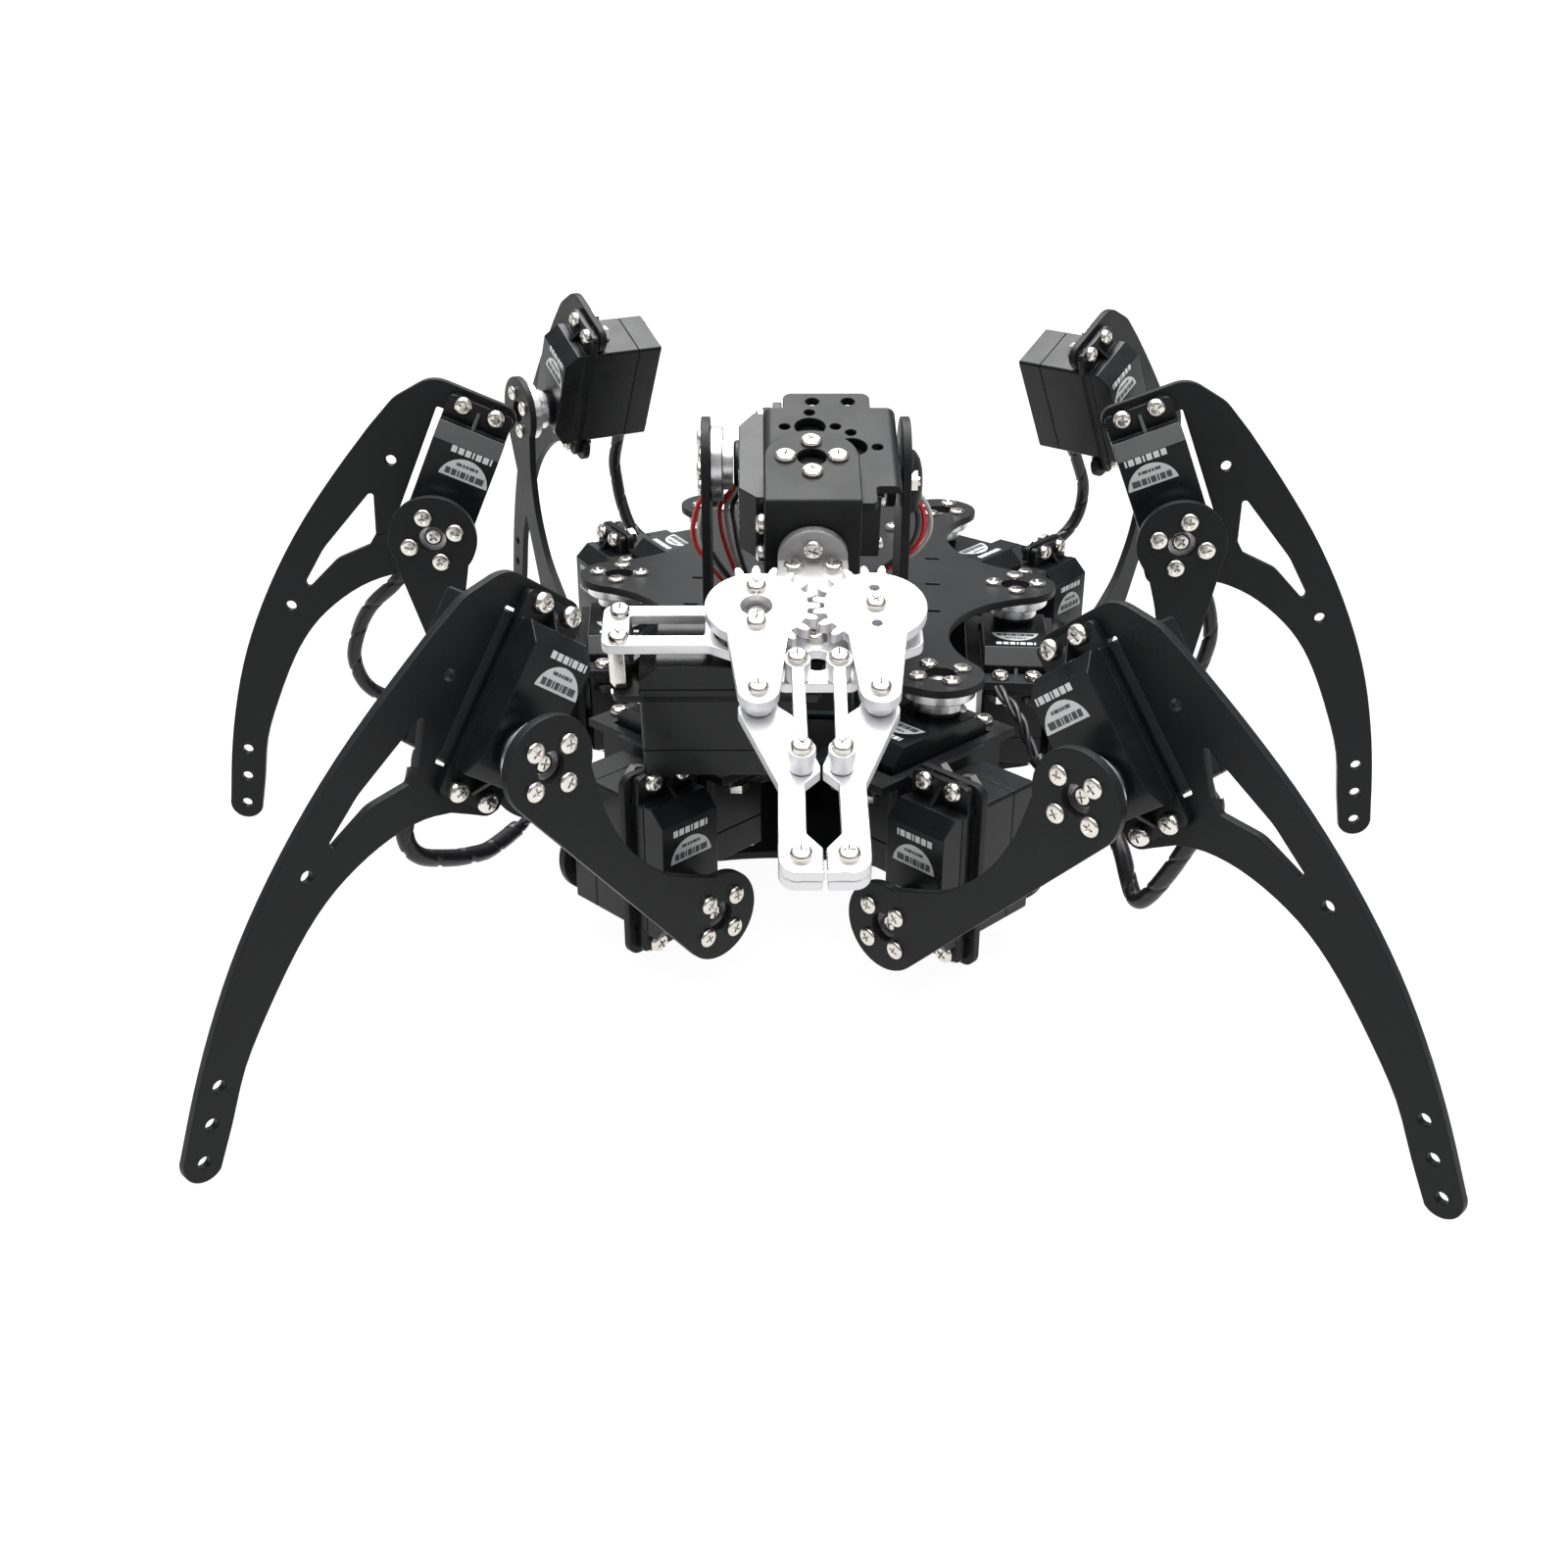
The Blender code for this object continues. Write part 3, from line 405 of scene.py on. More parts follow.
def at(x, y, z, *turns):
    """A shift followed by turns of (degrees, axis)."""
    matrix = Matrix.Translation((x, y, z))
    for angle, axis in turns:
        matrix = matrix @ Matrix.Rotation(math.radians(angle), 4, axis)
    return matrix


def across_x(outline, low, high, holes=()):
    """A prism along X from low to high, drawn as (y, z)."""
    return moved(prism(outline, low, high, holes), axes((0, 1, 0), (0, 0, 1), (1, 0, 0)))


def across_y(outline, front, rear, holes=()):
    """A prism along -Y from front to rear, drawn as (x, z)."""
    return moved(prism(outline, front, rear, holes), axes((1, 0, 0), (0, 0, 1), (0, -1, 0)))


# ---------------- materials

def put(node, values):
    for name, value in values.items():
        node.inputs[name].default_value = value


def surface(name, colour, roughness, metallic=0.0, grain=2200.0, bump=0.06, shade=0.12, patches=90.0,
            uneven=0.06, shine=0.5):
    """A Principled surface: fine grain in its bump, broad patches in its colour and roughness."""
    made = bpy.data.materials.new(name)
    made.use_nodes = True
    nodes, links = made.node_tree.nodes, made.node_tree.links
    shader = nodes["Principled BSDF"]
    put(shader, {"Metallic": metallic, "Specular IOR Level": shine})
    place = nodes.new("ShaderNodeTexCoord")
    fine, broad = (nodes.new("ShaderNodeTexNoise") for _ in range(2))
    for noise, scale, detail in ((fine, grain, 2), (broad, patches, 5)):
        put(noise, {"Scale": scale, "Detail": detail})
        links.new(place.outputs["Object"], noise.inputs["Vector"])
    mix = nodes.new("ShaderNodeMix")
    mix.data_type = "RGBA"
    dark, light = ((*(min(1, value * factor) for value in colour), 1) for factor in (1 - shade, 1 + shade))
    put(mix, {"A": dark, "B": light})
    links.new(broad.outputs["Fac"], mix.inputs["Factor"])
    links.new(mix.outputs["Result"], shader.inputs["Base Color"])
    spread = nodes.new("ShaderNodeMapRange")
    put(spread, {"From Min": 0.3, "From Max": 0.7})
    put(spread, {"To Min": roughness - uneven, "To Max": roughness + uneven})
    links.new(broad.outputs["Fac"], spread.inputs["Value"])
    links.new(spread.outputs["Result"], shader.inputs["Roughness"])
    relief = nodes.new("ShaderNodeBump")
    put(relief, {"Strength": bump, "Distance": 0.0004})
    links.new(fine.outputs["Fac"], relief.inputs["Height"])
    links.new(relief.outputs["Normal"], shader.inputs["Normal"])
    return made


SURFACES = {
    "black": surface("black_anodised_plate", (0.0096, 0.0101, 0.0110), 0.42, 0.0, 2600, 0.16, 0.14, 60,
                     shine=0.16),
    "servo": surface("servo_case_plastic", (0.0055, 0.006, 0.007), 0.3, 0.0, 1500, 0.05, 0.2, 140, 0.05, 0.24),
    "bright": surface("blasted_aluminium", (0.72, 0.72, 0.73), 0.42, 0.8, 2400, 0.22, 0.05, 80),
    # A darker copy of the blasted aluminium with a coarser grain: painted shade on the claw base's flange,
    # which faces forward
    "dull": surface("blasted_flange_painted_shade", (0.36, 0.36, 0.365), 0.5, 0.8, 2600, 0.5, 0.12, 500, 0.08),
    "nickel": surface("nickel_plated_steel", (0.74, 0.71, 0.67), 0.2, 1.0, 900, 0.03, 0.1, 300, 0.06),
    "disc": surface("machined_horn_disc", (0.72, 0.72, 0.73), 0.3, 1.0, 700, 0.1, 0.08, 200),
    "wrap": surface("spiral_wrap", (0.010, 0.010, 0.0115), 0.3, 0.0, 900, 0.08, 0.2, 200, 0.06, 0.35),
    "white_wire": surface("white_wire", (0.42, 0.41, 0.4), 0.4, 0.0, 1200, 0.05, 0.05, 300, 0.05),
    "red_wire": surface("red_wire", (0.55, 0.018, 0.016), 0.36, 0.0, 1200, 0.05, 0.12, 300, 0.05),
    "black_wire": surface("black_wire", (0.02, 0.018, 0.018), 0.36, 0.0, 1200, 0.05, 0.15, 300, 0.05),
    "label": surface("silver_label", (0.56, 0.57, 0.57), 0.38, 0.3, 1800, 0.05, 0.05, 250),
    "ink_dark": surface("label_dark_print", (0.05, 0.055, 0.06), 0.5, 0.0, 1800, 0.04, 0.1, 400),
    "ink_light": surface("label_light_print", (0.58, 0.6, 0.6), 0.5, 0.0, 1800, 0.04, 0.08, 400),
    "battery": surface("battery_sleeve", (0.03, 0.05, 0.16), 0.4, 0.0, 900, 0.1, 0.15, 60),
    "board": surface("circuit_board", (0.006, 0.05, 0.022), 0.35, 0.0, 900, 0.12, 0.25, 400, 0.08),
    "chip": surface("component_plastic", (0.018, 0.018, 0.019), 0.5, 0.0, 1500, 0.1, 0.15, 200),
}


# ---------------- placing pieces

def piece(name, mesh, kind, body, matrix=Matrix(), replaced=(), edge=0.0, soft=False):
    """An object from a mesh in the frame of matrix, riding on a body. edge rounds its creases."""
    kinds = kind if isinstance(kind, tuple) else (kind,)
    own = moved(mesh.copy(), matrix)
    if edge:
        own = softened(own, edge)
    own.materials.clear()
    for each in kinds:
        own.materials.append(SURFACES[each])
    obj = placed(name, own)
    own.shade_smooth()
    if edge or soft:
        obj.modifiers.new("normals", "WEIGHTED_NORMAL").weight = 100
    else:
        own.set_sharp_from_angle(angle=math.radians(35))
    if body:
        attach(obj, body)
    if replaced:
        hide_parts(*replaced)
    return obj


# ---------------- fasteners

def pan_head(radius, height):
    """A Phillips pan head on Z = 0, with its cross recess."""
    leans = [math.radians(90 * step / 7) for step in range(2, 8)]
    crown = [(radius * (0.55 + 0.45 * math.sin(lean)), height - (height - 0.45) * (1 - math.cos(lean)))
             for lean in leans]
    head = turned([(0, height), (radius * 0.55, height - 0.02), *crown, (radius * 0.985, 0), (0, 0)], 28)
    reach, width, depth = radius * 0.6, radius * 0.2, min(height * 0.75, 1.3)
    wedge = [(-reach, height + 0.2), (-reach * 0.35, height - depth), (reach * 0.35, height - depth),
             (reach, height + 0.2)]
    bars = [moved(across_y(wedge, -width / 2, width / 2), at(0, 0, 0, (turn, "Z"))) for turn in (0, 90)]
    return difference(head, *bars)


def nut_mesh():
    """A hexagon nut on Z = 0 with the screw's end through it."""
    screw_end = turned([(0, 3.2), (1.1, 3.2), (1.45, 2.9), (1.45, 0), (0, 0)], 20)
    return together(prism(circle((0, 0), 3.15, 6), 0, 2.3), screw_end)


# Radius and height of each kind of screw head
SCREW_HEADS = {
    "horn": (2.65, 1.3), "ear": (2.8, 2.2), "claw": (2.75, 2.0), "small": (2.1, 1.4), "large": (2.9, 1.4),
}
FASTENERS = {kind: pan_head(*size) for kind, size in SCREW_HEADS.items()}
FASTENERS["nut"] = nut_mesh()


def spin(index):
    """A turn for each screw's recess that looks unplanned and is the same each run."""
    return at(0, 0, 0, (37 * index % 90, "Z"))


def fasten(name, places, body, frame_matrix=Matrix()):
    """All the screws and nuts of one body: places is a list of (kind, matrix)."""
    shells = [moved(FASTENERS[kind].copy(), frame_matrix @ matrix @ spin(i))
              for i, (kind, matrix) in enumerate(places)]
    piece(name, together(*shells), "nickel", body)


# ---------------- servo

def servo_mesh():
    """Bottom cover, body and top cover with their seams, ears with ribs, and the boss round the shaft."""
    short, long, half = SERVO_SHORT_END, SERVO_LONG_END, SERVO_HALF_WIDTH
    plan = panel(short, -half, long, half, 1.0, 4)
    inset = panel(short + 0.35, 0.35 - half, long - 0.35, half - 0.35, 1, 4)
    lower_seam, upper_seam, seam = -17.0, 4.3, 0.16
    bottom = prism(plan, -SERVO_BELOW_EARS, lower_seam)
    body = prism(plan, lower_seam + seam, upper_seam)
    core = prism(inset, lower_seam - 1, upper_seam + 1)
    cover_side = [(short, upper_seam + seam), (long, upper_seam + seam), (long, SERVO_CASE_TOP - 4.7),
                  (long - 4.5, SERVO_CASE_TOP), (short + 6.2, SERVO_CASE_TOP), (short, SERVO_CASE_TOP - 4.0)]
    cover = across_y(cover_side, -half, half)
    ear_plan = panel(short - EAR_REACH, -half, long + EAR_REACH, half, 1.8)
    holes = [circle((x, side * EAR_HOLE_SPACING / 2), 2.1, 20)
             for x in (short - EAR_HOLE_REACH, long + EAR_HOLE_REACH) for side in (1, -1)]
    ears = prism(ear_plan, 0, EAR, holes)
    ribs = [across_y([(x, EAR - 0.1), (x + way * 4.8, EAR - 0.1), (x, EAR + 4.4)][::way], -0.7, 0.7)
            for x, way in ((long - 0.1, 1), (short + 0.1, -1))]
    boss = turned([(0, SERVO_BOSS_TOP), (SERVO_BOSS_RADIUS - 0.5, SERVO_BOSS_TOP),
                   (SERVO_BOSS_RADIUS, SERVO_BOSS_TOP - 0.5), (SERVO_BOSS_RADIUS, SERVO_CASE_TOP - 1),
                   (0, SERVO_CASE_TOP - 1)], 40)
    outlet = box((short - 0.5, -3.6, -24.4), (short + 1, 3.6, -19.8))
    return soft_shells(0.3, bottom, body, core, cover, ears, *ribs, boss, outlet)


def servo_label():
    """Arch-shaped silver patch on the case top."""
    straight, arch, half = 13.8, 20.3, 7.4
    rise = arch - straight
    radius = (half**2 + rise**2) / (2 * rise)
    centre = (arch - radius, 0)
    lean = math.degrees(math.atan2(half, straight - centre[0]))
    return prism(arc(centre, radius, -lean, lean, 24), SERVO_CASE_TOP - 0.05, SERVO_CASE_TOP + 0.08)


def dashes(x, half, width, parts, low, high, gap=0.35):
    """A row of short bars along Y that stands for a line of print."""
    total = sum(parts)
    y = -half
    bars = []
    for part in parts:
        length = 2 * half * part / total
        bars.append(box((x - width / 2, y + gap / 2, low), (x + width / 2, y + length - gap / 2, high)))
        y += length
    return bars


def label_prints():
    top = SERVO_CASE_TOP
    dark = together(*dashes(15.5, 6.0, 1.9, (2, 2, 1, 2, 1, 2, 3), top, top + 0.11),
                    *dashes(18.2, 3.4, 0.9, (2, 1, 1, 2, 1), top, top + 0.11, 0.25))
    light = together(*dashes(22.6, 6.4, 1.9, (2, 2, 2, 1, 2, 2, 1), top - 0.03, top + 0.06, 0.5))
    return dark, light


SERVO = servo_mesh()
LABEL = servo_label()
PRINT_DARK, PRINT_LIGHT = label_prints()


def place_servo(name, body, matrix, labelled=True, shift=(0, 0)):
    """A servo with its label, which shift moves along the case top."""
    piece(name + "_case", SERVO, "servo", body, matrix, [name], soft=True)
    if labelled:
        patch = matrix @ at(*shift, 0)
        piece(name + "_label", LABEL, "label", body, patch)
        piece(name + "_label_print", PRINT_DARK, "ink_dark", body, patch)
        piece(name + "_case_print", PRINT_LIGHT, "ink_light", body, patch @ at(-shift[0] * 0.2, 0, 0))
    bottom = [at(x, y, -SERVO_BELOW_EARS, (180, "X")) for x in (-7.2, 27.2) for y in (-7.2, 7.2)]
    fasten(name + "_case_screws", [("small", place @ Matrix.Scale(0.85, 4)) for place in bottom], body, matrix)


def ear_places(level, flip=False):
    """Frames of a servo's four ear screws on the given level, facing down when flipped."""
    ends = (SERVO_SHORT_END - EAR_HOLE_REACH, SERVO_LONG_END + EAR_HOLE_REACH)
    return [at(x, side * EAR_HOLE_SPACING / 2, level, (180 * flip, "X")) for x in ends for side in (1, -1)]


def clamps(servo, ear_level, nut_level):
    """A screw and a nut at each of a servo's four ear holes."""
    ears = [("ear", servo @ place) for place in ear_places(ear_level)]
    return ears + [("nut", servo @ place) for place in ear_places(nut_level, True)]


def horn_disc(face=HORN_FACE):
    """The aluminium disc with its hub, open in the middle down to the shaft's screw."""
    rim, hub = HORN_RADIUS, 7.2
    side = [(0, face), (rim - 0.3, face), (rim, face - 0.3), (rim, face - 3.2), (rim - 0.3, face - 3.5),
            (hub, face - 3.5), (hub, HORN_BASE), (0, HORN_BASE)]
    disc = difference(turned(side, 64), drum(3.95, face - 2.6, face + 1, segments=32))
    pockets = [drum(1.1, HORN_BASE - 1, face - 0.6, spot, 12) for spot in pattern((0, 0), 45, 4, 8.6)]
    return difference(disc, *pockets)


HORN = horn_disc()


def horn_screws(centre, face, turn=0.0, sunk=1.0):
    """Four screws round a horn and the shaft's own screw in the middle, sunk that much below the plate."""
    spots = [("horn", at(x, y, face)) for x, y in pattern(centre, turn)]
    return spots + [("horn", at(*centre, face - PLATE - sunk))]


# ---------------- leg

def hip_bracket_mesh():
    """Two servo brackets back to back, in the leg's frame: X outwards, Y away from the femur plate."""
    left, seam = 11.4, 13.9
    flange = HIP_EARS + EAR + GAP
    reach = 10.6
    window = panel(-reach, -31, reach, 11)
    hip_top = prism(rounded([(-15, -38.5, 4), (seam, -38.5, 0), (seam, 18.5, 0), (-15, 18.5, 4)]),
                    flange, flange + PLATE, [window])
    hip_base = box((left, -32, HIP_FLOOR), (seam, 12, flange + PLATE))
    bottom = arc((0, 0), 12, 90, 270, 28) + [(seam, -12), (seam, 12)]
    hip_floor = prism(bottom, HIP_FLOOR, HIP_FLOOR + PLATE, [circle((0, 0), 2.2, 20)])
    inner, outer = FEMUR_OUT - reach, FEMUR_OUT + reach
    low, high = FEMUR_HEIGHT + SERVO_SHORT_END, FEMUR_HEIGHT + SERVO_LONG_END
    face = rounded([
        (seam, low - 2, 0), (inner, low - 2, 0), (inner, low - 8.2, 0), (outer + 1.8, low - 8.2, 3.5),
        (outer + 1.8, high + 7.2, 3.5), (inner, high + 7.2, 2), (inner, high + 2, 0), (seam, high + 2, 0)])
    opening = panel(inner, low - 0.6, outer, high + 0.6)
    front = across_y(face, FEMUR_EARS - GAP - PLATE, FEMUR_EARS - GAP, [opening])
    tail = ([(seam, FEMUR_HEIGHT - 12)] + arc((FEMUR_OUT, FEMUR_HEIGHT), 12, -90, 90, 28)
            + [(seam, FEMUR_HEIGHT + 12)])
    hub = circle((FEMUR_OUT, FEMUR_HEIGHT), 2.2, 20)
    rear = across_y(tail, -PLATE - 0.3, -0.3, [hub])
    femur_base = box((seam - 0.1, GAP - FEMUR_EARS, FEMUR_HEIGHT - 12), (BRACKET_BACK, PLATE + 0.3, high + 2))
    return union(hip_base, hip_top, hip_floor, femur_base, front, rear)


def femur_plate_mesh():
    """Waisted bar between two round ends, in the femur servo's frame with X along the bar."""
    radius, length = LOBE_RADIUS, FEMUR_LENGTH
    waist = 2.4
    dip = [(length - 10.8, 6.8), (length - 24, 0.6), (length / 2 + 4, -waist), (length / 2 - 9, -waist + 0.5),
           (24, 0.4), (10.9, 6.8)]
    ends = arc((0, 0), radius, 32, 270, 40) + arc((length, 0), radius, -90, 148, 40)
    holes = [circle(end, 3.95) for end in ((0, 0), (length, 0))]
    holes += [circle(spot, 1.2, 12) for end in ((0, 0), (length, 0)) for spot in pattern(end)]
    return prism(ends + flowing(dip, 5)[1:-1], HORN_FACE, HORN_FACE + PLATE, holes)


def shin_outline():
    """The curved leg plate in the knee servo's frame, drawn as (outwards, up) from the knee axis."""
    hook = [(-6.0, -19.2, 0), (-13.2, -18.0, 4.2), (-12.0, -10.8, 1.5), (12.2, -10.8, 0.8), (12.2, 30.8, 0.8),
            (-9.6, 30.8, 1.5), (-12.4, 38.8, 4.0), (16.4, 38.8, 9.0), (24.8, 28.0, 12.0)]
    outer = [(28.6, 17.0), (33.4, 0.0), (37.6, -18.0), (40.2, -36.0), (41.2, -54.0), (40.6, -70.0),
             (38.4, -86.0), (35.2, -101.0)]
    foot = arc(FOOT_HOLE, FOOT_RADIUS, -8, -172, 24)
    inner = [(23.0, -105.5), (26.2, -92.0), (27.0, -78.0), (26.6, -62.0), (24.6, -50.0), (20.6, -40.0),
             (14.8, -31.0), (8.0, -24.4), (1.0, -20.6)]
    edge = flowing(outer + [foot[0]]) + foot[1:-1] + flowing([foot[-1]] + inner)
    return rounded(hook + [(x, y, 0) for x, y in edge])


def shin_plate_mesh():
    """The curved leg plate: a hook round the servo, a three-sided cut-out and a foot with three holes."""
    cut_out = rounded([(20.9, -1.6, 0.8), (16.2, -13.4, 0.6), (16.8, -17.6, 0.8), (24.4, -25.6, 8),
                       (29.6, -38.4, 0.8), (30.9, -36.4, 0.6), (29.2, -24.0, 20), (22.2, -2.4, 0.8)])
    foot_x, foot_y = FOOT_HOLE
    small = [(19.3, 10.0), (32.7, -45.5)] + [(foot_x + 2.6 * i, foot_y + 9.3 * i) for i in range(3)]
    flat = prism(shin_outline(), -PLATE - GAP, -GAP, [cut_out] + [circle(spot, 1.6, 20) for spot in small])
    return moved(flat, axes((0, -1, 0), (1, 0, 0), (0, 0, 1)))


HIP_SERVO = axes((0, -1, 0), (1, 0, 0), (0, 0, 1), (0, 0, HIP_EARS))


def femur_frame(pitch):
    """Femur axis in the leg's frame: X along the femur at its pitch, Z along the shaft."""
    turn = math.radians(pitch)
    return axes((math.cos(turn), 0, math.sin(turn)), (-math.sin(turn), 0, math.cos(turn)), (0, -1, 0),
                (FEMUR_OUT, -FEMUR_EARS, FEMUR_HEIGHT))


def knee_frame(pitch):
    """Knee axis in the femur's frame, with X along the knee servo's long side, its foot on the floor."""
    out, down = FOOT_HOLE
    height = FOOT_RADIUS - FEMUR_HEIGHT - FEMUR_LENGTH * math.sin(math.radians(pitch))
    lean = math.asin(height / math.hypot(down, out)) - math.atan2(down, out)
    return Matrix.Translation((FEMUR_LENGTH, 0, 0)) @ Matrix.Rotation(math.radians(90 - pitch) + lean, 4, "Z")


def pivot(joint):
    return Vector(JOINTS[joint]["pos_m"]) / MM


def along(joint):
    return Vector(JOINTS[joint]["axis"]).normalized()


def leg_frame(name):
    """The leg's frame, mirrored on the left side, and the femur's pitch in degrees."""
    side = 1 if name.endswith("right") else -1
    out = UP.cross(along(name + "_femur_lift"))
    hip = pivot(name + "_hip_yaw")
    femur = pivot(name + "_knee_swing") - pivot(name + "_femur_lift")
    pitch = math.degrees(math.atan2(femur.z, femur.dot(out)))
    return axes(out, -side * along(name + "_femur_lift"), UP, (hip.x, hip.y, 0)), pitch


# ---------------- cables

def route_through(knots, spacing):
    """Points of a Catmull-Rom curve through the knots, about spacing apart."""
    points = [Vector(knot) for knot in knots]
    ends = [2 * points[0] - points[1], *points, 2 * points[-1] - points[-2]]
    route = []
    for a, b, c, d in zip(ends, ends[1:], ends[2:], ends[3:]):
        count = max(1, round((c - b).length / spacing))
        route += [between(a, b, c, d, i / count) for i in range(count)]
    return route + [points[-1]]


def carried(route):
    """Each point of a route with two vectors across it, carried along without twist, and its distance."""
    across = (route[1] - route[0]).orthogonal().normalized()
    distance = 0.0
    frames = []
    for i, spot in enumerate(route):
        ahead = (route[min(i + 1, len(route) - 1)] - route[max(i - 1, 0)]).normalized()
        across = (across - ahead * across.dot(ahead)).normalized()
        if i:
            distance += (spot - route[i - 1]).length
        frames.append((spot, across.copy(), ahead.cross(across), distance))
    return frames


def add_tube(shape, frames, sides, skin, slot=0, strand=None):
    """Adds a closed tube. skin(distance, angle) is its radius; strand(distance) turns it round the route."""
    rings = []
    for spot, across, over, distance in frames:
        middle = spot
        if strand:
            reach, angle = strand(distance)
            middle = spot + across * reach * math.cos(angle) + over * reach * math.sin(angle)
        ring = []
        for k in range(sides):
            angle = math.tau * k / sides
            radius = skin(distance, angle)
            ring.append(shape.verts.new(middle + (across * math.cos(angle) + over * math.sin(angle)) * radius))
        rings.append(ring)
    faces = [shape.faces.new(rings[0][::-1]), shape.faces.new(rings[-1])]
    for low, high in zip(rings, rings[1:]):
        for k in range(sides):
            after = (k + 1) % sides
            faces.append(shape.faces.new((low[k], low[after], high[after], high[k])))
    for face in faces:
        face.material_index = slot


WRAP_PITCH = 13.0
WRAP_GAP = 0.11
WIRE_RADIUS = 0.8
WIRE_TWIST = 22.0
WIRE_REACH = 0.95
WIRE_KINDS = ("white_wire", "red_wire", "black_wire")


def wrap_skin(distance, angle):
    """Spiral tape with a gap between its turns."""
    phase = (distance / WRAP_PITCH - angle / math.tau) % 1
    return 1.95 if phase < WRAP_GAP else 2.4 - 0.12 * abs(2 * phase - 1 - WRAP_GAP)


def strand(number):
    """How far each of the three wires is from the bundle's middle, and in which direction."""
    return lambda distance: (WIRE_REACH, math.tau * (distance / WIRE_TWIST + number / 3))


def bundle_mesh(frames, wrapped):
    """Three twisted wires, inside spiral tape between the two wrapped distances."""
    def build(shape):
        inside = [each for each in frames if wrapped[0] <= each[3] <= wrapped[1]]
        if len(inside) > 1:
            add_tube(shape, inside, 24, wrap_skin)
        coarse = frames[::3] + ([frames[-1]] if (len(frames) - 1) % 3 else [])
        for number in range(3):
            add_tube(shape, coarse, 8, lambda distance, angle: WIRE_RADIUS, number + 1, strand(number))

    return mesh_from(build)


def knee_point(pitch, forward, out, depth):
    """A point of the knee servo's frame, given in the leg's frame."""
    return femur_frame(pitch) @ knee_frame(pitch) @ Vector((forward, -out, -depth))


# Each leg's lead from the knee servo to the body, in the leg's frame
LEG_LEADS = {
    "front_left": [(91.5, -6.6, 66), (95.5, -7.5, 55), (90, -7, 46.5), (70, -3, 38.5), (52, 5, 36),
                   (34, 11, 36), (18, 15, 36), (2, 14, 34)],
    "front_right": [(96.5, -7, 66), (91, -7.5, 55), (82, -6, 38), (74.5, -4, 30.5), (66, 0, 40), (54, 7, 46),
                    (38, 11, 47), (27, 12, 50), (17.5, 15, 59), (6, 19, 63)],
    "mid_left": [(62, -6.3, 82), (72, -4, 71), (83, 1, 59), (89, 4, 42), (84, 8, 28), (68, 12, 23),
                 (48, 13, 28), (30, 12, 34), (16, 15, 36), (2, 14, 34)],
    "mid_right": [(53, -6.3, 83), (60, -6, 70), (63, -3, 56), (60, 3, 40), (50, 9, 33), (34, 12, 34),
                  (18, 15, 36), (2, 14, 34)],
    "rear_left": [(70.5, -6.5, 79), (72.5, -7, 66), (65, -5, 46), (54, 3, 37), (36, 10, 35), (18, 15, 36),
                  (2, 14, 34)],
    "rear_right": [(79, -6.5, 77), (88, -6.5, 60), (84, -5, 46), (70, 0, 38), (50, 7, 35), (34, 11, 36),
                   (18, 15, 36), (2, 14, 34)],
}
# The knots where each lead leaves the shin for the femur and the femur for the hip, and where its tape ends
LEAD_CUTS = {
    "front_left": (3, 5, 5), "front_right": (4, 6, 8), "mid_left": (4, 7, 9), "mid_right": (3, 5, 7),
    "rear_left": (3, 5, 6), "rear_right": (3, 5, 7),
}


def place_cable(name, leg, pitch):
    """The leg's lead in three lengths, cut where it leaves the shin and where it leaves the femur."""
    knots = [leg @ knot for knot in (knee_point(pitch, -10.6, 0.0, 22.0), *map(Vector, LEG_LEADS[name]))]
    frames = carried(route_through(knots, 0.5))
    nearest = [min(range(len(frames)), key=lambda i, knot=knot: (frames[i][0] - knot).length)
               for knot in knots]
    leave, join, bare = LEAD_CUTS[name]
    taped = (5.0, frames[nearest[bare]][3])
    cuts = [0, nearest[leave], nearest[join], len(frames) - 1]
    for i, part in enumerate(("outer", "middle", "inner")):
        mesh = bundle_mesh(frames[cuts[i]:cuts[i + 1] + 1], taped)
        length = piece(f"{name}_cable_{part}", mesh, ("wrap",) + WIRE_KINDS, None)
        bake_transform(length)
        if i == 0:
            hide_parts(name + "_cable")


def loose_wire(name, kind, knots):
    """One wire along its knots, riding on the deck."""
    frames = carried(route_through(knots, 1.2))
    mesh = mesh_from(lambda shape: add_tube(shape, frames, 10, lambda distance, angle: 0.75))
    piece(name, mesh, kind, "deck")


# ---------------- legs

HIP_BRACKET, FEMUR_PLATE, SHIN_PLATE = hip_bracket_mesh(), femur_plate_mesh(), shin_plate_mesh()


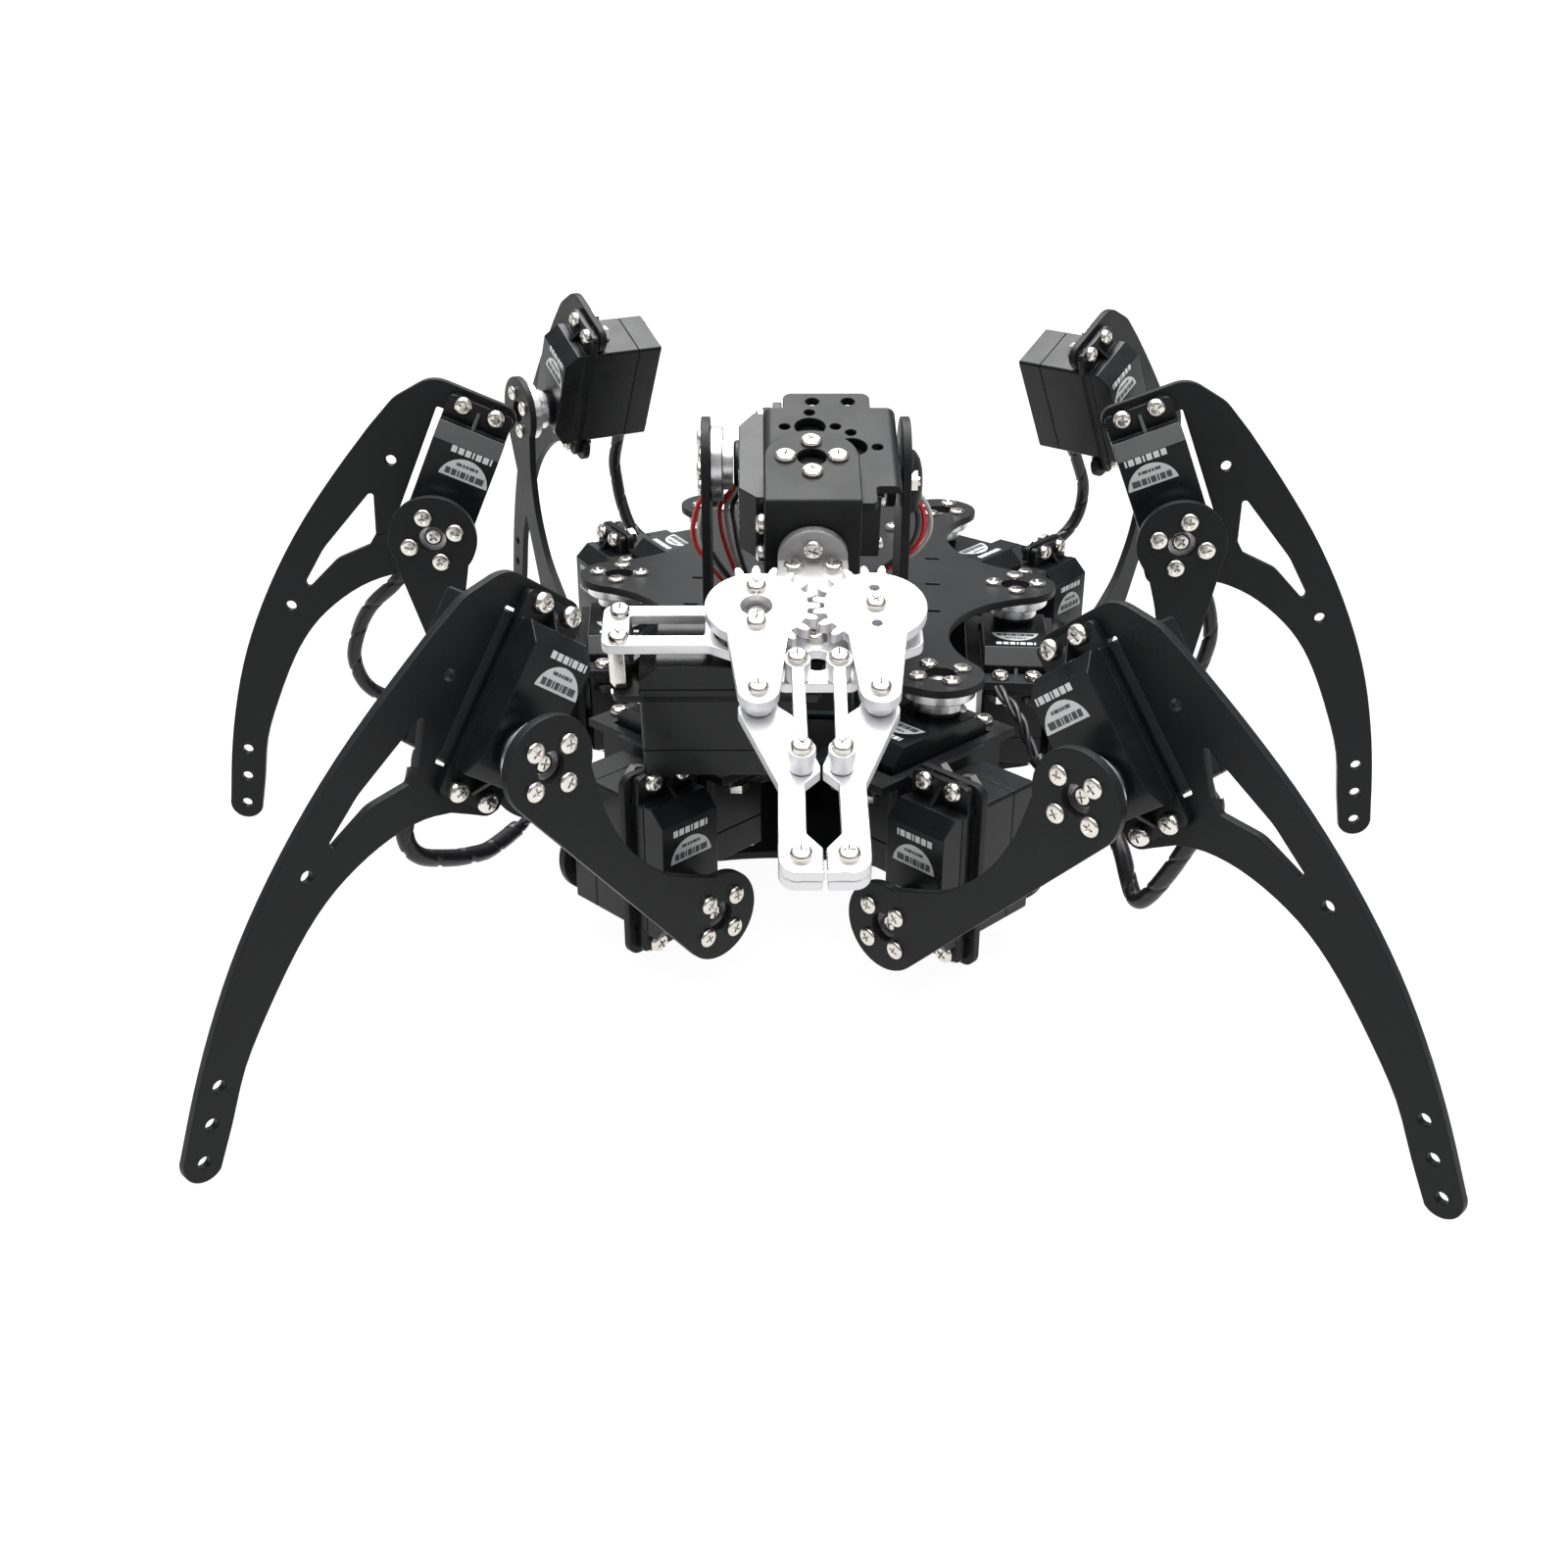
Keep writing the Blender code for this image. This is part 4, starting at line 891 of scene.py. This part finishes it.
def place_leg(name):
    leg, pitch = leg_frame(name)
    hip, femur, shin = name + "_hip", name + "_femur", name + "_shin"
    thigh = leg @ femur_frame(pitch)
    knee = thigh @ knee_frame(pitch)
    upright = leg @ femur_frame(90)
    place_servo(name + "_hip_servo", hip, leg @ HIP_SERVO)
    place_servo(name + "_femur_servo", hip, upright)
    place_servo(name + "_knee_servo", shin, knee, shift=(2.4, 2.2))
    piece(name + "_hip_bracket_sheets", HIP_BRACKET, "black", hip, leg, [name + "_hip_bracket"], 0.3)
    piece(name + "_femur_bar", FEMUR_PLATE, "black", femur, thigh, [name + "_femur_plate"], 0.3)
    piece(name + "_shin_sheet", SHIN_PLATE, "black", shin, knee, [name + "_shin_plate"], 0.3)
    piece(name + "_femur_horns", copies(HORN, [at(x, 0, 0) for x in (0, FEMUR_LENGTH)]), "disc", femur, thigh)
    face = HORN_FACE + PLATE
    horns = [each for x in (0, FEMUR_LENGTH) for each in horn_screws((x, 0), face)]
    fasten(name + "_femur_screws", horns, femur, thigh)
    hip_screws = clamps(HIP_SERVO, EAR + GAP + PLATE, 0)
    hip_screws += clamps(femur_frame(90), EAR, -PLATE - GAP)
    hip_screws.append(("nut", at(0, 0, HIP_FLOOR + PLATE)))
    hip_screws += [("small", at(BRACKET_BACK, y, z, (90, "Y"))) for y in (-9, -19) for z in (15, 27)]
    fasten(name + "_hip_screws", hip_screws, hip, leg)
    fasten(name + "_shin_screws", clamps(Matrix(), EAR, -PLATE - GAP), shin, knee)
    place_cable(name, leg, pitch)


# ---------------- body

def place_decks():
    lobe_of = {name: pivot(name + "_hip_yaw").xy for name in LEGS}
    middle = sum(lobe_of.values(), Vector((0, 0))) / len(lobe_of)
    order = ("front_right", "mid_right", "rear_right", "rear_left", "mid_left", "front_left")
    lobes = [lobe_of[name] - middle for name in order]
    deck = at(*middle, 0)
    turns = [degrees_of(lobe) for lobe in lobes]
    slots = [panel(x - 2.4, y - 0.9, x + 2.4, y + 0.9, 0.85, 5)
             for x in (-37.6, 37.6) for y in (-26.6, -2.3, 22.5)]
    holes = [circle(lobe, 4.5) for lobe in lobes] + slots
    holes += [circle(spot, 1.2, 12) for lobe, turn in zip(lobes, turns) for spot in pattern(lobe, turn)]
    outline = lobed_outline(lobes)
    piece("top_deck_plate", prism(outline, DECK_TOP - PLATE, DECK_TOP, holes), "black", "deck", deck,
          ["top_deck"], 0.3)
    lower_holes = [circle(lobe, 1.7, 20) for lobe in lobes]
    piece("bottom_deck_plate", prism(outline, LOWER_DECK_TOP - PLATE, LOWER_DECK_TOP, lower_holes), "black",
          "deck", deck, ["bottom_deck"], 0.3)
    shafts = [at(*lobe, HIP_EARS, (turn, "Z")) for lobe, turn in zip(lobes, turns)]
    piece("deck_horns", copies(HORN, shafts), "disc", "deck", deck)
    posts = [(side * x, y) for x, y in POSTS for side in (1, -1)]
    stands = [prism(circle(spot, POST_RADIUS, 6), LOWER_DECK_TOP, DECK_TOP - PLATE) for spot in posts]
    piece("deck_posts", together(*stands), "nickel", "deck", deck, (), 0.2)
    screws = [each for lobe, turn in zip(lobes, turns) for each in horn_screws(lobe, DECK_TOP, turn, 2.6)]
    screws += [("ear", at(*spot, DECK_TOP)) for spot in posts]
    screws += [("ear", at(*spot, LOWER_DECK_TOP - PLATE, (180, "X"))) for spot in posts + lobes]
    fasten("deck_screws", screws, "deck", deck)
    place_electronics(deck)


def place_electronics(deck):
    low = LOWER_DECK_TOP + GAP
    cell = prism(panel(-17, -35, 17, 35, 3), low, low + 24)
    piece("battery_pack_sleeve", cell, "battery", "deck", deck, ["battery_pack"], 1.4)
    caps = [box((-16.4, y - 1, low + 0.8), (16.4, y + 1, low + 23.2)) for y in (-35.2, 35.2)]
    piece("battery_end_caps", soft_shells(0.4, *caps), "chip", "deck", deck, soft=True)
    board = panel(-25, -40, 25, 40, 2)
    corners = [circle((x, y), 1.6, 20) for x in (-21.5, 21.5) for y in (-36.5, 36.5)]
    level = low + 28
    piece("control_board_plate", prism(board, low + 26.4, level, corners), "board", "deck", deck,
          ["control_board"], 0.15)
    chips = [box((-9, -7, level), (5, 7, level + 1.4)), box((-16, -26, level), (-8, -18, level + 1.2)),
             box((10, 14, level), (16, 24, level + 1.6)), box((-22, 30, level), (-12, 38, level + 3.4))]
    headers = [(x, y) for x in (-21, 20.5) for y in (-24, -8, 8, 22)]
    chips += [box((x - 1.3, y - 4, level), (x + 1.3, y + 4, level + 6)) for x, y in headers]
    piece("board_components", together(*chips), "chip", "deck", deck, (), 0.15)
    pins = [prism(circle((x, y + step), 0.35, 8), level, level + 9.5)
            for x, y in headers for step in (-2.5, 0, 2.5)]
    can = turned([(0, 7), (2.6, 7), (3, 6.5), (3, 0), (0, 0)], 24)
    cans = copies(can, [at(x, y, level) for x, y in ((-3, 30), (6, 31), (12, -30))])
    piece("board_pins", together(*pins, cans), "nickel", "deck", deck)


# ---------------- head

def head_frames():
    """The head's tilted frame, the same one upright, in millimetres."""
    origin = pivot("head_tilt")
    across = -along("head_tilt")
    lift = along("left_gear_turn")
    tilted = axes(across, lift.cross(across), lift, origin)
    return tilted, axes(across, UP.cross(across), UP, origin)


TILT_SERVO = axes((0, -1, 0), (0, 0, 1), (-1, 0, 0), (HEAD_ARMS[0] + TILT_HORN_FACE, 0, 0))
CLAW_SERVO = axes((-1, 0, 0), (0, -1, 0), (0, 0, 1), (-GEAR_AT[0], -GEAR_AT[1], UPPER_LEVEL - HORN_FACE))


def head_bracket_mesh(foot):
    """The upright U on the top deck, about the tilt axis."""
    left, right = HEAD_ARMS
    reach = HEAD_ARM_RADIUS
    arm = arc((0, 0), reach, 0, 180, 36) + [(-reach, foot), (reach, foot)]
    horn_holes = [circle((0, 0), 4.0)] + [circle(spot, 1.2, 12) for spot in pattern((0, 0))]
    horn_side = across_x(arm, left - PLATE, left, horn_holes)
    idle_side = across_x(arm, right, right + PLATE, [circle((0, 0), 2.2, 20)])
    base = box((left - PLATE, -reach, foot), (right + PLATE, reach, foot + PLATE))
    bends = rounded([(left - PLATE, foot, BEND), (right + PLATE, foot, BEND), (right + PLATE, 20, 0),
                     (left - PLATE, 20, 0)])
    return within(union(base, horn_side, idle_side), across_y(bends, -20, 20))


def tilt_bracket_mesh():
    """Over the tilt servo: a tabbed top, an ear flange on the horn side and a round flange opposite."""
    left, right = TILT_BRACKET
    rear, front = 8.6, -29.0
    tab_left, tab_right = -7.3, 17.0
    tip = -ELBOW_FRONT + PLATE + GAP
    top = rounded([
        (left, rear, 0), (left, tip, 0), (tab_right, tip, 1.5), (tab_right, front, 1), (right, front, 0),
        (right, rear, 0), (tab_right, rear, 0), (tab_right, 15.9, 2.5), (tab_left, 15.9, 2.5),
        (tab_left, rear, 0)])
    holes = [circle((5.9 + side * EAR_HOLE_SPACING / 2, 11.6), 1.9, 20) for side in (1, -1)]
    middle, corner = (0, -0.8), (11.1, -10.7)
    holes += [circle(centre, 4.2) for centre in (middle, corner)]
    beside = pattern(corner)
    holes += [circle(spot, 1.5, 16) for spot in pattern(middle) + beside[::3] + beside[1:2]]
    cover = prism(top, TILT_TOP - PLATE, TILT_TOP, holes)
    case_low, case_high = -SERVO_LONG_END - 0.6, -SERVO_SHORT_END + 0.6
    seat = case_high + 6.9
    neck = TILT_TOP - 1.0
    flange = rounded([(tip, neck, 0), (tip, -10.5, 2), (seat, -10.5, 3), (seat, 8.0, 2), (rear, 8.0, 0),
                      (rear, neck, 0)])
    opening = panel(case_low, -10.3, case_high, 10.2)
    ear_side = difference(across_x(flange, left, left + PLATE), across_x(opening, left - 1, left + PLATE + 1))
    idle = [(rear, neck), (-12.0, neck)] + arc((0, 0), 12.0, 180, 360, 28)[:-1] + [(rear, -8.0)]
    idle_side = across_x(idle, right - PLATE, right, [circle((0, 0), 2.2, 20)])
    bends = rounded([(left, -30, 0), (right, -30, 0), (right, TILT_TOP, BEND), (left, TILT_TOP, BEND)])
    return within(union(cover, ear_side, idle_side), across_y(bends, -30, 50))


def elbow_mesh():
    """The bent plate from the tilt bracket's top down its front, which carries the claw."""
    half = LOBE_RADIUS - 0.1
    low = TILT_TOP + GAP
    leaf = arc((0, -ELBOW_HOLE), half, 0, 180, 36) + [(-half, -ELBOW_FRONT), (half, -ELBOW_FRONT)]
    top = prism(leaf, low, low + PLATE, [circle((0, -ELBOW_HOLE), 3.9)])
    front = box((-half, -ELBOW_FRONT, LOWER_LEVEL - 4), (half, -ELBOW_FRONT + PLATE - 0.2, low + PLATE))
    high = low + PLATE
    bend = rounded([(-ELBOW_FRONT, -20, 0), (0, -20, 0), (0, high, 0), (-ELBOW_FRONT, high, 1.2)])
    return within(union(top, front), across_x(bend, -30, 30))


def gear_outline(first_tooth, last=112):
    """Teeth from the first one's angle to the last angle in degrees, then the smooth disc and the arm."""
    pitch = GEAR_AT[0]
    base = pitch * math.cos(math.radians(PRESSURE_ANGLE))

    def involute(radius):
        angle = math.acos(min(1.0, base / radius))
        return math.tan(angle) - angle

    half_at_pitch = math.pi / 2 / GEAR_TEETH - math.radians(0.7)

    def flank(radius):
        return math.degrees(half_at_pitch + involute(pitch) - involute(max(radius, base)))

    radii = (pitch - 1.9, base, pitch - 0.4, pitch, pitch + 0.6, pitch + 1.1)
    points = []
    tooth = first_tooth
    while tooth < last:
        sides = [(r, tooth - flank(r)) for r in radii] + [(r, tooth + flank(r)) for r in radii[::-1]]
        points += [(r * math.cos(math.radians(a)), r * math.sin(math.radians(a))) for r, a in sides]
        tooth += 360 / GEAR_TEETH
    return points + arc((0, 0), 13.0, last, 236, 30) + arc(ARM_END, 5.1, 180, 360, 20) + [(7.4, -11.4)]


def claw_arm_mesh(driven):
    """The left gear arm, drawn with Y to the rear. The right one is mirrored, with shifted teeth."""
    outline = gear_outline(-54.0 if driven else -54.0 + 180 / GEAR_TEETH)
    small = [circle((0, side * HORN_SCREW_CIRCLE), 1.3, 16) for side in (1, -1)]
    middle = [circle((0, 0), 4.0)] if driven else []
    plate = prism(outline, UPPER_LEVEL, UPPER_LEVEL + CLAW_PLATE, middle + small)
    base = LOWER_LEVEL + CLAW_PLATE + GAP
    posts = [drum(3.4, base, UPPER_LEVEL - 0.02, ARM_END)]
    if not driven:
        posts.append(drum(4.0, base, UPPER_LEVEL - 0.02))
    mesh = together(plate, *posts)
    return mesh if driven else moved(mesh, Matrix.Diagonal((-1, 1, 1, 1)))


def claw_link_mesh():
    """Slim bar between two round ends, each on a spacer."""
    lean = degrees_of(Vector(ARM_END))
    narrow = 28
    outline = (arc((0, 0), 3.3, lean + narrow, lean + 360 - narrow, 28)
               + arc(ARM_END, 3.3, lean + 180 + narrow, lean + 540 - narrow, 28))
    bar = prism(outline, UPPER_LEVEL, UPPER_LEVEL + CLAW_PLATE)
    base = LOWER_LEVEL + CLAW_PLATE + GAP
    return together(bar, *(drum(3.0, base, UPPER_LEVEL - 0.02, spot) for spot in ((0, 0), ARM_END)))


def finger_outline():
    """The left finger from above, drawn with Y to the rear and X = 0 on the claw's middle line."""
    teeth = []
    for i in range(6):
        y = -CLAW_END + 0.8 + i * 1.15
        teeth += [(-0.25, y), (-0.85, y + 0.58)]
    inner = [(-4.0, -141.5), (-3.9, -125.7), (-0.3, -121.9), (-0.3, -119.7), (-3.2, -111.6), (-6.4, -102.5)]
    return (arc(SHOULDER, 5.0, 10, 196, 24) + [(-10.2, -125.9), (-10.4, -147.9)]
            + arc((-6.0, -149.3), 4.3, 180, 285, 14) + [(-0.25, -CLAW_END)] + teeth + [(-0.25, -146.2)]
            + inner)


def finger_mesh():
    """A finger plate with a second pad under its tip, about the pivot at its shoulder."""
    plate = prism(finger_outline(), LOWER_LEVEL, LOWER_LEVEL + CLAW_PLATE)
    under = rounded([(-10.4, -140.8, 1), (-10.4, -CLAW_END, 4), (-0.6, -CLAW_END, 0.6), (-0.6, -144.8, 1),
                     (-4.6, -140.8, 1)])
    pad = prism(under, LOWER_LEVEL - 3.0, LOWER_LEVEL - 0.02)
    return moved(together(plate, pad), at(-SHOULDER[0], -SHOULDER[1], 0))


def claw_base_mesh():
    """Base plate with the servo's slotted frame, and its half-round flange."""
    gear_x, gear_y = GEAR_AT
    start = -ELBOW_FRONT - GAP
    frame_rear, frame_front = -gear_y + 7.9, -gear_y - 7.9
    side = [(9.3, start, 0), (9.3, frame_rear + 7, 3), (27.0, frame_rear, 3), (27.0, frame_front, 3),
            (12.0, frame_front - 7.5, 3), (9.6, frame_front - 14.6, 2.5)]
    arm = [(-27.0, frame_rear, 3), (-54.0, frame_rear, 2.5), (-54.0, frame_front, 2.5),
           (-27.0, frame_front, 3)]
    other = [(-x, y, r) for x, y, r in side]
    outline = rounded(side[::-1] + other[:2] + arm + other[4:])
    slot = rounded([(-47.2, -gear_y + 3.9, 0.8), (-47.2, -gear_y - 3.9, 0.8), (-28.0, -gear_y - 3.9, 0.8),
                    (-28.0, -gear_y + 3.9, 0.8)])
    openings = [slot, circle((-gear_x, -gear_y), HORN_RADIUS + 0.8, 40), circle((0, -gear_y - 4.8), 2.0),
                circle((0, -gear_y - 13.6), 3.8)]
    floor = prism(outline, LOWER_LEVEL, LOWER_LEVEL + CLAW_PLATE, openings)
    dome = [(-9.3, LOWER_LEVEL), (9.3, LOWER_LEVEL)] + arc((0, LOWER_LEVEL + CLAW_PLATE), 9.3, 0, 180, 36)
    return floor, across_y(dome, -start, -start + PLATE)


def claw_posts():
    ears = UPPER_LEVEL - HORN_FACE + EAR
    ear_x = -GEAR_AT[0] - SERVO_LONG_END - EAR_HOLE_REACH
    spots = [(ear_x, -GEAR_AT[1] + side * EAR_HOLE_SPACING / 2) for side in (1, -1)]
    return spots, together(*(prism(circle(spot, 2.9, 6), ears + GAP, LOWER_LEVEL - 0.02) for spot in spots))


def place_head():
    tilted, upright = head_frames()
    foot = DECK_TOP + GAP - upright.translation.z
    left, right = HEAD_ARMS
    piece("head_bracket_u", head_bracket_mesh(foot), "black", "deck", upright, ["head_bracket"], 0.3)
    piece("tilt_horn", horn_disc(TILT_HORN_FACE), "disc", "deck", upright @ TILT_SERVO)
    arm_frame = at(left - PLATE, 0, 0, (-90, "Y"))
    screws = [("horn", arm_frame @ at(y, z, 0)) for y, z in pattern((0, 0))]
    screws.append(("horn", arm_frame @ at(0, 0, -PLATE - 2.6)))
    idle = at(right + PLATE, 0, 0, (90, "Y"))
    screws.append(("nut", idle @ at(4, -4, 0)))
    cap = turned([(9.4, 0), (9.4, 0.6), (8.6, 2.2), (6.6, 3.5), (4.2, 4.1), (4.2, 1.2), (3.6, 0), (9.4, 0)],
                 48)
    piece("head_bearing_cap", cap, "black", "deck", upright @ idle @ at(6, 3, 0.02))
    screws += [("ear", at(x, y, foot + PLATE)) for x in (-16.5, 15.5) for y in (-8.0, 8.0)]
    fasten("head_bracket_screws", screws, "deck", upright)
    place_servo("tilt_servo", "head", tilted @ TILT_SERVO)
    place_servo("claw_servo", "head", tilted @ CLAW_SERVO, labelled=False)
    piece("tilt_bracket_plate", tilt_bracket_mesh(), "black", "head", tilted, ["tilt_bracket"], 0.3)
    piece("elbow_plate", elbow_mesh(), "black", "head", tilted, ["elbow_bracket"], 0.4)
    floor, flange = claw_base_mesh()
    piece("claw_base_plate", floor, "bright", "head", tilted, ["claw_base"], 0.3)
    # The flange is the same aluminium as the base plate, made darker as painted shade
    piece("claw_base_flange", flange, "dull", "head", tilted, (), 0.3)
    ear_spots, posts = claw_posts()
    piece("claw_posts", posts, "nickel", "head", tilted, (), 0.2)
    leaf_top = TILT_TOP + GAP + PLATE
    screws = [("large", at(*spot, leaf_top)) for spot in pattern((0, -ELBOW_HOLE))]
    screws += clamps(TILT_SERVO, 2 * PLATE + GAP, 0)
    screws += [("ear", CLAW_SERVO @ place) for place in ear_places(0, True)[2:]]
    face = -ELBOW_FRONT - GAP - PLATE
    base_top = LOWER_LEVEL + CLAW_PLATE
    screws.append(("claw", at(0, face, base_top + 4.0, (90, "X"))))
    on_base = [(5.2, face - 3.4), (-5.2, face - 3.4), *ear_spots, (0, -GEAR_AT[1] - 4.8)]
    screws += [("claw", at(*spot, base_top)) for spot in on_base]
    fasten("head_screws", screws, "head", tilted)
    place_claw(tilted)


def place_claw(tilted):
    """Both sides of the gripper: gear arm, link and finger with their screws."""
    top = UPPER_LEVEL + CLAW_PLATE
    link, finger = claw_link_mesh(), finger_mesh()
    for name, side in (("left", -1), ("right", 1)):
        flip = Matrix.Diagonal((-side, 1, 1, 1))
        arm_body, link_body, finger_body = name + "_gear_arm", name + "_link", name + "_finger"
        driven = name == "left"
        gear = tilted @ at(side * GEAR_AT[0], -GEAR_AT[1], 0)
        piece(name + "_gear_plate", claw_arm_mesh(driven), "bright", arm_body, gear, [arm_body], 0.35)
        spots = [("claw", at(-side * ARM_END[0], ARM_END[1], top))]
        if driven:
            shaft = gear @ at(0, 0, UPPER_LEVEL - HORN_FACE)
            piece("claw_horn", horn_disc(HORN_FACE - 0.02), "disc", arm_body, shaft)
            spots += [("claw", at(0, way * HORN_SCREW_CIRCLE, top)) for way in (1, -1)]
        spots.append(("claw", at(0, 0, UPPER_LEVEL - 1.0 if driven else top)))
        fasten(name + "_gear_screws", spots, arm_body, gear)
        swing = tilted @ at(side * LINK_AT[0], -LINK_AT[1], 0) @ flip
        piece(name + "_link_bar", link, "bright", link_body, swing, [link_body], 0.3)
        spots = [("claw", at(*spot, top)) for spot in ((0, 0), ARM_END)]
        fasten(name + "_link_screws", spots, link_body, swing)
        shoulder = tilted @ at(-side * SHOULDER[0], SHOULDER[1], 0) @ flip
        piece(name + "_finger_plate", finger, "bright", finger_body, shoulder, [finger_body], 0.35)
        tip = at(-5.3 - SHOULDER[0], -148.4 - SHOULDER[1], LOWER_LEVEL + CLAW_PLATE)
        fasten(name + "_finger_screws", [("claw", tip)], finger_body, shoulder)


def place_head_wires():
    """Loops of servo wire on both sides of the head, from the tilt servo back to the deck."""
    _, upright = head_frames()
    right = [(22, 12, -5), (27, 14, -8.5), (32.2, 15.5, -13), (36, 16.5, -19), (36.4, 17.5, -26),
             (33, 18.5, -32), (28, 19.5, -36), (22, 21, -42), (17, 23, -52)]
    left = [(-25, 12, -6), (-29, 14, -12), (-31.8, 15, -16.5), (-33.6, 16, -24), (-32.6, 17, -30),
            (-29.6, 18, -35), (-24, 20, -43), (-18, 23, -52)]
    inner = [(-19.5, 11, -8), (-22.6, 12, -12), (-25.4, 14, -16.5), (-25.2, 15, -23.5), (-23.6, 15, -30),
             (-20, 16, -40), (-14, 19, -52)]
    red_first = ("red_wire", "white_wire", "black_wire")
    for name, knots, kinds, way in (("right", right, WIRE_KINDS, -1), ("left", left, red_first, 1),
                                    ("inner", inner, red_first, 1)):
        middle = (len(knots) - 1) / 2
        for number, kind in enumerate(kinds):
            drawn_in = [1.65 * number * (1.25 - 0.5 * abs(i - middle) / middle) for i in range(len(knots))]
            route = [upright @ Vector((x + way * pull, y - 0.5 * number, z))
                     for (x, y, z), pull in zip(knots, drawn_in)]
            loose_wire(f"{name}_head_wire_{number + 1}", kind, route)


# ---------------- stage

# Area lamps: place in metres, size in metres and power in watts
LAMPS = {
    "key": ((-0.5, -0.5, 1.5), 0.9, 4), "fill": ((0.9, -0.8, 1.0), 0.8, 2),
    "back": ((-0.5, 1.3, 0.9), 1.0, 3), "top": ((0.0, 0.55, 1.25), 0.9, 18),
}


def place_stage():
    """A glowing white floor, a dim white sky, a broad sun overhead and four area lamps."""
    reach = 40 / MM
    floor_mesh = mesh_from(lambda shape: bmesh.ops.create_grid(shape, x_segments=1, y_segments=1, size=reach))
    paint = surface("pale_floor", (0.06, 0.06, 0.06), 0.8, 0.0, 40, 0.0, 0.01, 1, 0.02)
    put(paint.node_tree.nodes["Principled BSDF"], {"Emission Color": (1, 1, 1, 1), "Emission Strength": 0.96})
    floor_mesh.materials.append(paint)
    placed("floor", floor_mesh)
    world = bpy.data.worlds.new("studio")
    world.use_nodes = True
    put(world.node_tree.nodes["Background"], {"Color": (1.0, 1.0, 1.0, 1), "Strength": 0.32})
    bpy.context.scene.world = world
    sun = bpy.data.lights.new("overhead", "SUN")
    sun.energy = 5.0
    sun.angle = math.radians(70)
    placed("overhead", sun)
    for name, (spot, size, power) in LAMPS.items():
        lamp = bpy.data.lights.new(name, "AREA")
        lamp.size = size
        lamp.energy = power
        holder = placed(name, lamp)
        holder.location = spot
        holder.rotation_euler = (Vector((0, 0, 0.05)) - Vector(spot)).to_track_quat("-Z", "Y").to_euler()
    bpy.context.scene.view_settings.view_transform = "Standard"


def place_camera():
    """At the photograph's viewing angle: in front, above and a little to the right."""
    spot = Vector((0.03102, -0.51357, 0.26494))
    yaw, pitch, roll = (math.radians(angle) for angle in (-3.99, -26.45, 0.21))
    ahead = Vector((math.sin(yaw) * math.cos(pitch), math.cos(yaw) * math.cos(pitch), math.sin(pitch)))
    right = ahead.cross(UP).normalized()
    over = right.cross(ahead)
    tipped = right * math.cos(roll) + over * math.sin(roll)
    risen = over * math.cos(roll) - right * math.sin(roll)
    lens = bpy.data.cameras.new("camera")
    lens.lens = 40.27
    lens.sensor_width = 36
    lens.clip_start = 0.01
    camera = placed("camera", lens)
    camera.matrix_world = axes(tipped, risen, -ahead, spot)
    bpy.context.scene.camera = camera


place_camera()
place_stage()
place_decks()
for leg_name in LEGS:
    place_leg(leg_name)
place_head()
place_head_wires()
